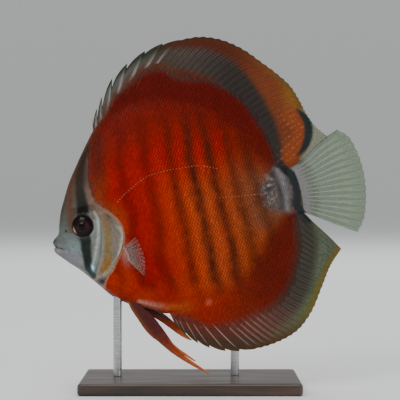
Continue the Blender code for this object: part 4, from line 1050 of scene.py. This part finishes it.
def tail_shape():
    """The tail fin, a fan of branched rays: its points with ray ridge and share of the way out."""
    steps = 14
    columns = (TAIL_RAYS - 1) * steps + 1
    along = np.linspace(0, 1, columns)[:, None]
    phase = ((np.arange(columns) % steps) / steps)[:, None]
    across = np.linspace(-0.05, 1, FIN_ROWS)[None, :]
    share = np.broadcast_to(np.maximum(across, 0), (columns, across.size))
    reach = share * (1 - 0.012 * np.sin(math.pi * phase) ** 2)
    root = Line(STALK_END)
    grid = patch(root, Line(TAIL_MARGIN), Line([tuple(root.at(0)), *TAIL_BOTTOM_RAY[1:]]),
                 Line([tuple(root.at(1)), *TAIL_TOP_RAY[1:]]), along, reach)
    grid[..., 0] += np.minimum(across, 0) * 30
    u, v = grid[..., 0], grid[..., 1]
    edge = FIN_EDGE_HALF * 0.8
    half = edge + (STALK_END_HALF - 0.02 - edge) * (1 - share) ** 8
    half = np.where(across < 0, half - 0.3, half)
    spacing = np.linalg.norm(np.gradient(grid, axis=0), axis=-1) * steps
    ridge = ray_ridge(phase, spacing, share, 1)
    half = half + ridge * 0.2 * blend(share, 0.02, 0.3)
    broad = bell(off_ray(phase, spacing), 0.24 + 0.14 * share) * (1 - blend(share, 0.7, 1))
    extra = np.stack([np.maximum(ridge * 0.9, broad), share], axis=-1)
    return sheet(u, v, 2 * blend(u, 126, 164), half, extra)


def make_tail():
    """The clear tail fin with pale rays, grey at its root and black where the bar runs on."""
    points, quads = tail_shape()
    u, _, v, ridge, share = points.T
    rooted = 1 - blend(share + 0.05 * mottle(u, v, 2, 51), 0.06, 0.34)
    top_ray, _ = Line(TAIL_TOP_RAY).way(u, v, 20)
    black = black_bar(u, v) * (share < 0.3)
    shade = washed(
        (76, 98, 68),
        ((164, 188, 150), ridge * 0.8),
        ((124, 120, 121), rooted * 0.92),
        # painted shade: a darker line along the top ray, toning down its brightly lit rim
        ((84, 92, 70), bell(top_ray, 0.8) * 0.85),
        (BLACK, black))
    alpha = np.maximum(np.clip(0.40 + 0.36 * ridge + 0.6 * rooted, 0, 1), black)
    return make_mesh("tail_skin", posed(points[:, :3]), [quads], with_alpha(shade, alpha))


def belly_level(u, side_distance):
    """Level of the underside of the body at a distance out from the middle plane."""
    low = UNDER_LINE.value(u)
    high = LEVEL_LINE.value(u)
    for _ in range(30):
        level = (low + high) * 0.5
        outside = body_half(u, level) < side_distance
        low, high = np.where(outside, level, low), np.where(outside, high, level)
    return (low + high) * 0.5


def pelvic_blade(side, front, rear, first):
    """One blade of a pelvic fin between two outlines, from a share of the fin's length to its tip."""
    steps = 8
    rooted = first == 0
    along = np.linspace(-0.04 if rooted else 0, 1, 90)
    across = np.linspace(0, 1, PELVIC_RAYS * steps + 1)
    phase = (np.arange(len(across)) % steps) / steps
    own = np.clip(along, 0, 1)
    share = first + (1 - first) * own
    front_points = Line(front).at(own)[:, None, :]
    rear_points = Line(rear).at(own)[:, None, :]
    grid = front_points + (rear_points - front_points) * across[None, :, None]
    width = np.linalg.norm(rear_points - front_points, axis=-1)
    spread = np.stack([across - 0.5, 0.6 * (across - 0.5)], -1)[None] * 0.4
    grid = grid + spread * share[:, None, None]
    u, v = grid[..., 0], grid[..., 1]
    ridge = bell(off_ray(phase[None, :], np.maximum(width / PELVIC_RAYS, 0.3)), 0.22)
    closing = blend(share, 0.35, 1)[:, None]
    half = FIN_EDGE_HALF + (PELVIC_ROOT_HALF - FIN_EDGE_HALF) * (1 - share[:, None]) ** 1.6
    half = half * (1 - 0.75 * (2 * across[None, :] - 1) ** 4) + ridge * 0.14 * (1 - closing)
    out = PELVIC_SIDE + PELVIC_SPLAY * blend(share, 0, 0.8)[:, None] + (0 if rooted else 0.2)
    middle = np.broadcast_to(side * out, half.shape)
    near = np.stack([u, middle - half, v], axis=-1)
    far = np.stack([u, middle + half, v], axis=-1)
    if rooted:
        into = np.minimum(along, 0)[:, None] * -40
        top = blend(-share, -0.06, 0)
        for face in (near, far):
            level = belly_level(face[0, :, 0], np.abs(face[0, :, 1]))
            face[:, :, 2] += (level - v[0])[None, :] * top[:, None] + into
    extra = np.stack(np.broadcast_arrays(ridge, share[:, None], across[None, :]), axis=-1)
    near, far = np.concatenate([near, extra], -1), np.concatenate([far, extra], -1)
    points, quads = shell(near, far, {"low": 0.12, "high": 0.12, "end": 0.1}, 2)
    return points, outward_quads(points, quads)


def make_pelvic(name, side, pale_edge, *blades):
    """A pelvic fin: a rayed blade that narrows to a long tip, which may fork."""
    points, quads = merged([pelvic_blade(side, *blade) for blade in blades])
    u, _, v, ridge, share, rear_edge = points.T
    stain = mottle(u, v, 4, 61)
    shade = washed(
        (80, 32, 30),
        ((146, 62, 30), blend(share + 0.10 * stain, 0.26, 0.66)),
        ((196, 104, 52), blend(share + 0.1 * stain, 0.62, 0.92)),
        ((132, 74, 38), bell(rear_edge, 0.2) * (1 - share) * (1 - pale_edge)),
        ((62, 46, 40), pale_edge * (1 - blend(share, 0.3, 0.6)) * blend(rear_edge, 0.2, 0.7)),
        ((170, 146, 142), bell(rear_edge - 0.92, 0.09) * bell(share - 0.16, 0.2) * pale_edge))
    shade = shade * (0.90 + 0.45 * ridge)[:, None]
    return make_mesh(name, posed(points[:, :3]), [quads], with_alpha(shade))


def make_pectoral(name, side):
    """A pectoral fin: a clear fan swung out from the flank behind the gill cover."""
    steps = 10
    columns = (PECTORAL_RAYS - 1) * steps + 1
    place = np.linspace(0, 1, columns)[:, None]
    phase = ((np.arange(columns) % steps) / steps)[:, None]
    along = np.linspace(-0.05, 1, 48)[None, :]
    share = np.clip(along, 0, 1)
    root = Line(PECTORAL_ROOT).at(place[:, 0])
    start_u, start_v = root[:, :1], root[:, 1:]
    start_y = body_half(start_u, start_v)
    length = PECTORAL_LENGTH * (0.62 + 0.38 * np.sin(math.pi * (0.78 - 0.62 * place)))
    length = length * (1 - 0.02 * np.sin(math.pi * phase) ** 2)
    fan = PECTORAL_UPPER + (PECTORAL_LOWER - PECTORAL_UPPER) * place
    u = start_u + math.cos(PECTORAL_SWING) * np.cos(fan) * length * along
    y = start_y + math.sin(PECTORAL_SWING) * np.cos(fan) * length * along - PECTORAL_DROOP * share ** 2
    v = start_v + np.sin(fan) * length * along
    spacing = np.abs(PECTORAL_UPPER - PECTORAL_LOWER) / (PECTORAL_RAYS - 1) * length * share + 0.8
    ridge = bell(off_ray(phase, spacing), 0.42)
    half = FIN_EDGE_HALF * 0.8 + (PECTORAL_ROOT_HALF - FIN_EDGE_HALF * 0.8) * (1 - share) ** 1.6
    half = half + ridge * 0.16 * blend(share, 0.02, 0.4)
    across = np.array([-math.sin(PECTORAL_SWING), math.cos(PECTORAL_SWING)])
    extra = np.stack(np.broadcast_arrays(ridge, share), axis=-1)
    faces = []
    for sign in (1, -1):
        face = np.stack([u + across[0] * half * sign, (y + across[1] * half * sign) * side, v], axis=-1)
        faces.append(np.concatenate([face, extra], axis=-1))
    points, quads = shell(faces[0], faces[1], {"high": 0.12, "start": 0.12, "end": 0.12}, 2)
    quads = outward_quads(points, quads)
    u, _, v, ridge, share = points.T
    rooted = 1 - blend(share, 0, 0.22)
    outer = blend(share, 0.25, 0.92)
    shade = washed((136, 120, 114), ((156, 146, 140), ridge * 0.6), ((190, 162, 148), rooted))
    alpha = (0.34 + 0.10 * ridge) * (1 - 0.78 * outer) + 0.12 * ridge * outer + 0.35 * rooted
    return make_mesh(name, posed(points[:, :3]), [quads], with_alpha(shade, np.clip(alpha, 0, 1)))


def paint_eye(ahead, up):
    """Colour of an eye by the place from its middle: pupil, streaked iris and two pale glints, painted
    highlights.
    """
    share = np.hypot(ahead + 0.35, up + 0.45) / EYE_RADIUS
    turn = np.arctan2(up + 0.45, ahead + 0.35)
    streaks = 0.5 + 0.5 * np.sin(turn * 37 + 2 * np.sin(turn * 7)) * np.sin(turn * 19 + 1)
    iris = blend(share, 0.36, 0.44) * (1 - blend(share, 0.66, 0.86))
    front = np.abs(np.angle(np.exp(1j * (turn - 3.35))))
    return washed(
        (13, 8, 9),
        ((31, 10, 11), iris * (0.55 + 0.45 * streaks)),
        # painted highlight: a paler purple-brown patch on the rear of the iris
        ((76, 34, 40), bell(share - 0.62, 0.12) * bell(turn - 0.2, 0.8) * 0.5),
        ((84, 44, 44), bell(share - 0.405, 0.040) * 0.4),
        # painted highlight: a pale pink glint on the front edge of the eye
        ((205, 168, 158), bell(share - 0.84, 0.085) * bell(front, 0.32) * 0.9),
        ((9, 7, 8), 1 - blend(share, 0.32, 0.36)))


def make_eye(name, side):
    """An eye: a low wet dome with a dark red iris and a black pupil."""
    rings, sides = 46, 96
    radius = np.linspace(0, 1, rings)[1:, None] * EYE_RADIUS
    angle = np.linspace(0, 2 * math.pi, sides, endpoint=False)[None, :]
    curve = (EYE_RADIUS ** 2 + EYE_DOME ** 2) / (2 * EYE_DOME)
    height = np.sqrt(curve ** 2 - radius ** 2) - (curve - EYE_DOME)
    share = radius / EYE_RADIUS
    height = height + 0.35 * bell(share, 0.42) - 0.16 * bell(share - 0.52, 0.08)
    x, z = radius * np.cos(angle), radius * np.sin(angle)
    height = np.broadcast_to(height, x.shape)
    points = np.concatenate([[[0, -(EYE_DOME + 0.35), 0]],
                             np.stack([x, -height, z], -1).reshape(-1, 3),
                             np.stack([x[-1], np.full(sides, 2.4), z[-1]], -1),
                             [[0, 2.4, 0]]])
    index = 1 + np.arange((rings - 1) * sides).reshape(rings - 1, sides)
    index = np.concatenate([index, index[-1:] + sides])
    following = np.roll(index, -1, axis=1)
    quads = np.stack([index[:-1], following[:-1], following[1:], index[1:]], -1).reshape(-1, 4)
    first = np.stack([np.zeros(sides, int), following[0], index[0]], -1)
    last = np.stack([np.full(sides, len(points) - 1), index[-1], following[-1]], -1)
    seat = float(body_half(*EYE_PLACE))
    a, y, c = points.T
    placed = np.stack([EYE_PLACE[0] + a * math.cos(EYE_TURN) + y * math.sin(EYE_TURN),
                       side * (seat + a * math.sin(EYE_TURN) - y * math.cos(EYE_TURN)),
                       EYE_PLACE[1] + c], axis=-1)
    if side > 0:
        quads, first, last = quads[:, ::-1], first[:, ::-1], last[:, ::-1]
    return make_mesh(name, posed(placed), [quads, first, last], with_alpha(paint_eye(a, c)))


def scale_places():
    """Roots of the scales on one side, with their pitches and directions, in staggered rows."""
    rows, columns = SCALE_ROWS, SCALE_COLUMNS
    b, a = np.meshgrid(np.arange(-rows, rows + 1), np.arange(-columns, columns + 1), indexing="ij")
    b = b.ravel().astype(float)
    a = a.ravel() + 0.5 * (np.abs(b) % 2)
    a = a + RNG.normal(0, 0.05, len(a))
    b = b + RNG.normal(0, 0.03, len(b))
    x, y = a / columns, b / rows
    middle_u, middle_v = SCALES_MIDDLE
    reach_u, reach_v = SCALES_REACH
    u = middle_u + reach_u * x * (1 - 0.12 * x ** 2)
    arch = 1 + 0.10 * (1 - ((u - middle_u) / 60) ** 2)
    v = middle_v + reach_v * y * (1 - 0.12 * y ** 2) * arch
    pitch_u = reach_u / columns * (1 - 0.36 * x ** 2)
    pitch_v = reach_v / rows * (1 - 0.36 * y ** 2) * arch
    turn = np.arctan2(-(v - middle_v) * 0.20 * (u - middle_u) / 3600, 1)
    grows = scaled(u, v) & scaled(u + pitch_u, v)
    return u[grows], v[grows], pitch_u[grows], pitch_v[grows], turn[grows]


def scale_shape():
    """One scale seen flat: places from root to free edge, across, its height and its faces."""
    lengths = np.array([0, 0.4, 0.75, 1])
    widths = np.array([-1, -0.5, 0, 0.5, 1])
    x, w = np.meshgrid(lengths, widths, indexing="ij")
    flat_x = x * (1 - 0.30 * w ** 2)
    flat_w = w * (0.72 + 0.28 * np.sin(math.pi * np.minimum(x, 0.72) / 0.8))
    top = np.stack([flat_x.ravel(), flat_w.ravel()], -1)
    height = (-0.16 + 0.25 * x + 0.05 * (1 - w ** 2)).ravel()
    index = np.arange(20).reshape(4, 5)
    quads = np.stack([index[:-1, :-1], index[1:, :-1], index[1:, 1:], index[:-1, 1:]], -1).reshape(-1, 4)
    border = np.concatenate([index[:-1, 0], index[-1, :-1], index[:0:-1, -1], index[0, :0:-1]])
    low = np.arange(20, 20 + len(border))
    walls = np.stack([border, low, np.roll(low, -1), np.roll(border, -1)], -1)
    plan = np.concatenate([top, top[border]])
    heights = np.concatenate([height, height[border] - 0.10])
    return plan, heights, quads, walls, low


def make_coat(name, side, places, scale, contrast):
    """One piece of the coat: thin overlapping plates rooted in the skin, free at the rear.

    places holds the roots, the pitches along and across the rows and the lie of the scales.
    """
    u0, v0, pitch_u, pitch_v, turn = places
    plan, heights, quads, walls, low = scale_shape()
    count = len(u0)
    size = RNG.normal(1, 0.04, count)
    length = (pitch_u * 1.75 * size)[:, None]
    width = (pitch_v * 1.06 * size)[:, None]
    angle = (turn + RNG.normal(0, 0.04, count))[:, None]
    x, w = plan[None, :, 0] * length, plan[None, :, 1] * width
    u = u0[:, None] + x * np.cos(angle) - w * np.sin(angle)
    v = v0[:, None] + x * np.sin(angle) + w * np.cos(angle)
    half, sway = surface(u, v)
    tilt = RNG.normal(0, 0.015, count)[:, None]
    y = sway + side * (half + heights[None, :] * scale + tilt * plan[None, :, 0])
    points = posed(np.stack([u.ravel(), y.ravel(), v.ravel()], axis=-1))
    offset = (np.arange(count) * len(plan))[:, None, None]
    faces = [(block[None] + offset).reshape(-1, block.shape[-1])
             for block in (quads, walls, low[None, ::-1])]
    if side > 0:
        faces = [block[:, ::-1] for block in faces]
    # painted shading of each scale: lighter in the middle of its open part and darker towards its free
    # edge, which also draws the dark net of the scales' outlines
    edge = blend(plan[:, 0] / (1 - 0.30 * plan[:, 1] ** 2), 0.70, 0.98)
    middle = bell(plan[:, 0] - 0.66, 0.24) * bell(plan[:, 1], 0.6)
    strength = contrast(u0, v0)[:, None]
    tone = 0.94 + strength * (0.50 * middle - 0.46 * edge)[None, :]
    tone = tone * RNG.normal(1, 0.06, count)[:, None]
    shade = paint(u, v) * np.maximum(tone, 0.1)[..., None]
    corner = unwrap(u0, v0, side)[:, None, :]
    uv = corner + PATCH_SIZE * np.stack([2 * plan[:, 0] - 1, plan[:, 1]], -1)[None]
    return make_mesh(name, points, faces, with_alpha(shade).reshape(-1, 4), uv.reshape(-1, 2))


def network(u, v):
    """How strongly the flank's scales show their painted shading and dark outlines: most in its rear
    half.
    """
    rear = blend(u, 42, 72) * (1 - 0.4 * blend(np.abs(v), 34, 56))
    return 0.24 + 1.06 * rear * (1 - 0.6 * blend(u, 104, 110) * (np.abs(v) < 14))


def face_places():
    """Roots of the small scales of the cheek and the gill cover."""
    pitch, high = FACE_PITCH, FACE_SQUEEZE
    b, a = np.meshgrid(np.arange(-45, 45), np.arange(0, 50), indexing="ij")
    u = (a.ravel() + 0.5 * (b.ravel() % 2)) * pitch + RNG.normal(0, 0.05, a.size)
    v = b.ravel() * pitch * high + RNG.normal(0, 0.04, a.size)
    grows = face_scaled(u, v) & face_scaled(u + pitch * 1.4, v)
    u, v = u[grows], v[grows]
    pitches = np.full(len(u), pitch)
    return u, v, pitches, pitches * high, np.full(len(u), -0.15)


def make_scales():
    """The coat of scales on both sides, in pieces, with the smallest on the face."""
    flank = scale_places()
    rank = np.argsort(flank[0], kind="stable")
    parts = np.array_split(rank, max(1, math.ceil(len(rank) / SCALES_PER_PIECE)))
    face = face_places()
    made = []
    for side, side_name in SIDES:
        for number, chosen in enumerate(parts):
            places = [values[chosen] for values in flank]
            made.append(make_coat(f"scales_{side_name}_{number}", side, places, 1, network))
        made.append(make_coat(f"face_scales_{side_name}", side, face, 0.45,
                              lambda u, v: np.full(len(u), FACE_CONTRAST)))
    return made


def pored_scale(path, share, side):
    """A pored scale at a share of the lateral line: a short tube that tapers at both ends."""
    centre = path.at(share)
    ahead = path.at(min(share + 0.01, 1)) - path.at(max(share - 0.01, 0))
    ahead /= np.linalg.norm(ahead)
    aside = np.array([-ahead[1], ahead[0]])
    length = RNG.uniform(0.5, 1.2)
    width = RNG.uniform(0.12, 0.22)
    t, r = np.meshgrid(np.linspace(-1, 1, 7), np.linspace(-1, 1, 6), indexing="ij")
    wide = width * np.sqrt(np.clip(1 - 0.9 * t ** 2, 0, 1))
    place = centre + t[..., None] * ahead * length * 0.5 + r[..., None] * wide[..., None] * aside
    half, _ = surface(place[..., 0], place[..., 1])
    rise = 0.24 + 0.12 * np.sqrt(np.clip(1 - r ** 2, 0, 1)) - 0.06 * t ** 2
    outer, inner = (np.stack([place[..., 0], side * height, place[..., 1]], -1)
                    for height in (half + rise, half - 0.1))
    points, quads = shell(outer, inner, {}, 1)
    return points, outward_quads(points, quads)


def make_lateral_line():
    """The pored scales of the lateral line: short pale tubes along each flank."""
    made = []
    for side, side_name in SIDES:
        parts = []
        for path in (Line(LATERAL_UPPER), Line(LATERAL_LOWER)):
            count = int(path.length / PORE_SPACING)
            parts += [pored_scale(path, (k + 0.5) / count, side) for k in range(count)]
        points, quads = merged(parts)
        shade = with_alpha(np.tile(colour(184, 108, 88), (len(points), 1)))
        uv = unwrap(points[:, 0], points[:, 2], side)
        made.append(make_mesh(f"lateral_line_{side_name}", posed(points), [quads], shade, uv))
    return made


def new_material(name):
    """A material with the node tree and the shader that its looks hang on."""
    material = bpy.data.materials.new(name)
    material.use_nodes = True
    tree = material.node_tree
    tree.nodes.clear()
    shader = tree.nodes.new("ShaderNodeBsdfPrincipled")
    output = tree.nodes.new("ShaderNodeOutputMaterial")
    tree.links.new(shader.outputs["BSDF"], output.inputs["Surface"])
    return material, tree, shader


def set_inputs(tree, node, values):
    """Give a node's inputs their values, or link them where the value is another node's output."""
    for name, value in values.items():
        if isinstance(value, bpy.types.NodeSocket):
            tree.links.new(value, node.inputs[name])
        else:
            node.inputs[name].default_value = value
    return node


def noise(tree, scale, detail=3, stretch=(1, 1, 1)):
    """Noise from 0 to 1 in the model's own coordinates, in features per metre."""
    place = tree.nodes.new("ShaderNodeTexCoord").outputs["Object"]
    mapping = set_inputs(tree, tree.nodes.new("ShaderNodeMapping"), {"Vector": place, "Scale": stretch})
    made = set_inputs(tree, tree.nodes.new("ShaderNodeTexNoise"), {
        "Vector": mapping.outputs["Vector"], "Scale": scale, "Detail": detail})
    return made.outputs["Fac"]


def ranged(tree, source, low, high):
    """A value from 0 to 1, stretched to run from low to high."""
    made = set_inputs(tree, tree.nodes.new("ShaderNodeMapRange"), {
        "Value": source, "From Min": 0.3, "From Max": 0.7, "To Min": low, "To Max": high})
    return made.outputs["Result"]


def bumped(tree, height, strength, distance):
    """The surface's normal over a relief of a height."""
    made = set_inputs(tree, tree.nodes.new("ShaderNodeBump"), {
        "Height": height, "Strength": strength, "Distance": distance})
    return made.outputs["Normal"]


def ramped(tree, source, *stops):
    """A colour that runs between two stops, each a value and its colour."""
    ramp = set_inputs(tree, tree.nodes.new("ShaderNodeValToRGB"), {"Fac": source})
    for element, (place, shade) in zip(ramp.color_ramp.elements, stops):
        element.position = place
        element.color = (*shade, 1)
    return ramp.outputs["Color"]


def painted_material(name, roughness, grain, bump, gloss_level, coat, clear=False):
    """A material that takes its colour from the paint, with mottling, uneven gloss and fine bump."""
    material, tree, shader = new_material(name)
    layer = tree.nodes.new("ShaderNodeVertexColor")
    layer.layer_name = "paint"
    level = ranged(tree, noise(tree, grain), 0.86, 1.14)
    grey = set_inputs(tree, tree.nodes.new("ShaderNodeCombineColor"), {
        "Red": level, "Green": level, "Blue": level})
    tone = tree.nodes.new("ShaderNodeMix")
    tone.data_type = "RGBA"
    tone.blend_type = "MULTIPLY"
    set_inputs(tree, tone, {"Factor": 1, "A": layer.outputs["Color"], "B": grey.outputs["Color"]})
    set_inputs(tree, shader, {
        "Base Color": tone.outputs["Result"],
        "Roughness": ranged(tree, noise(tree, grain * 0.4, 2), roughness - 0.06, roughness + 0.08),
        "Normal": bumped(tree, noise(tree, grain * 2.5, 4), bump, 0.00006),
        "Specular IOR Level": gloss_level,
        "Coat Weight": coat, "Coat Roughness": 0.06, "Coat IOR": 1.36})
    if clear:
        tree.links.new(layer.outputs["Alpha"], shader.inputs["Alpha"])
    return material


def wood_material():
    """Dark stained wood with long grain under satin varnish."""
    material, tree, shader = new_material("dark_wood")
    grain = noise(tree, 220, 6, (0.12, 1, 1))
    set_inputs(tree, shader, {
        "Base Color": ramped(tree, grain, (0.35, (0.018, 0.010, 0.006)), (0.68, (0.070, 0.036, 0.018))),
        "Roughness": ranged(tree, grain, 0.42, 0.30),
        "Normal": bumped(tree, grain, 0.25, 0.0001),
        "Coat Weight": 0.3, "Coat Roughness": 0.2})
    return material


def steel_material():
    """Brushed steel, with fine streaks round the rod."""
    material, tree, shader = new_material("brushed_steel")
    streaks = noise(tree, 900, 4, (0.15, 0.15, 3))
    set_inputs(tree, shader, {
        "Base Color": ramped(tree, streaks, (0.3, (0.36, 0.36, 0.37)), (0.7, (0.62, 0.62, 0.63))),
        "Roughness": ranged(tree, streaks, 0.24, 0.38),
        "Metallic": 1})
    return material


def dress(piece, material, slot, *nodes):
    """Give a piece its material and tie it to the frame."""
    piece.data.materials.clear()
    piece.data.materials.append(material)
    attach(piece, "root")
    if nodes:
        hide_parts(*nodes)


def make_floor():
    """A wide pale floor without gloss."""
    bpy.ops.mesh.primitive_plane_add(size=12)
    floor = bpy.context.object
    floor.name = "floor"
    material, tree, shader = new_material("floor_paper")
    set_inputs(tree, shader, {
        "Base Color": (0.86, 0.87, 0.87, 1), "Roughness": 0.9, "Specular IOR Level": 0})
    floor.data.materials.append(material)


def make_world():
    """Even grey light from all round, a little brighter above."""
    world = bpy.data.worlds.new("studio")
    bpy.context.scene.world = world
    world.use_nodes = True
    tree = world.node_tree
    place = tree.nodes.new("ShaderNodeTexCoord").outputs["Generated"]
    split = set_inputs(tree, tree.nodes.new("ShaderNodeSeparateXYZ"), {"Vector": place})
    sky = ramped(tree, split.outputs["Z"], (0, (0.42, 0.425, 0.43)), (1, (0.52, 0.525, 0.53)))
    set_inputs(tree, tree.nodes["Background"], {"Color": sky, "Strength": 1})


def make_lights():
    """Soft square lights, each turned towards its aim."""
    for name, place, aim, size, power in LIGHTS:
        data = bpy.data.lights.new(name, "AREA")
        data.size = size
        data.energy = power
        light = bpy.data.objects.new(name, data)
        light.location = place
        light.visible_glossy = name != "rear"
        bpy.context.collection.objects.link(light)
        direction = np.array(aim) - np.array(place)
        light.rotation_euler = (math.atan2(math.hypot(direction[0], direction[1]), -direction[2]), 0,
                                math.atan2(direction[1], direction[0]) - math.pi / 2)


def make_camera():
    """The camera of the photo's view, square on to the fish's left side."""
    data = bpy.data.cameras.new("camera")
    data.sensor_width = SENSOR_WIDTH
    data.lens = SENSOR_WIDTH * CAMERA_DISTANCE / (PHOTO_PIXELS * PIXEL_SIZE * MM)
    camera = bpy.data.objects.new("camera", data)
    camera.location = (CAMERA_X, -CAMERA_DISTANCE, CAMERA_HEIGHT)
    camera.rotation_euler = (math.pi / 2, 0, 0)
    bpy.context.collection.objects.link(camera)
    bpy.context.scene.camera = camera


def build():
    """Make and dress every piece, then the studio and the camera."""
    skin = painted_material("skin_paint", 0.42, 900, 0.35, 0.22, 0)
    coat = painted_material("scale_paint", 0.45, 700, 0.12, 0.07, 0)
    clear = painted_material("fin_paint", 0.42, 900, 0.3, 0.16, 0, clear=True)
    wet = painted_material("eye_paint", 0.12, 2500, 0, 0.05, 0.32)
    dress(make_skin(), skin, "flank_skin", "head", "gill_cover_left", "gill_cover_right", "torso",
          "tail_stalk")
    dress(make_dorsal(), clear, "fin_red", "dorsal_fin")
    dress(make_anal(), clear, "fin_red", "anal_fin")
    dress(make_tail(), clear, "fin_clear", "tail_fin")
    left = make_pelvic("pelvic_skin_left", -1, 0, (PELVIC_LEFT_FRONT, PELVIC_LEFT_REAR, 0),
                       (PELVIC_FORK_FRONT, PELVIC_FORK_REAR, 0.5))
    dress(left, clear, "fin_maroon", "pelvic_fin_left")
    right = make_pelvic("pelvic_skin_right", 1, 0.9, (PELVIC_RIGHT_FRONT, PELVIC_RIGHT_REAR, 0))
    dress(right, clear, "fin_maroon", "pelvic_fin_right")
    for side, side_name in SIDES:
        dress(make_pectoral(f"pectoral_skin_{side_name}", side), clear, "fin_clear",
              f"pectoral_fin_{side_name}")
        dress(make_eye(f"eyeball_{side_name}", side), wet, "eye", f"eye_{side_name}")
    for piece in make_scales() + make_lateral_line():
        dress(piece, coat, "flank_skin")
    wood, steel = wood_material(), steel_material()
    for name, material in (("stand_base", wood), ("stand_rod_front", steel), ("stand_rod_rear", steel)):
        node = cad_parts[name]
        node.data.materials.clear()
        node.data.materials.append(material)
    make_floor()
    make_world()
    make_lights()
    make_camera()


build()
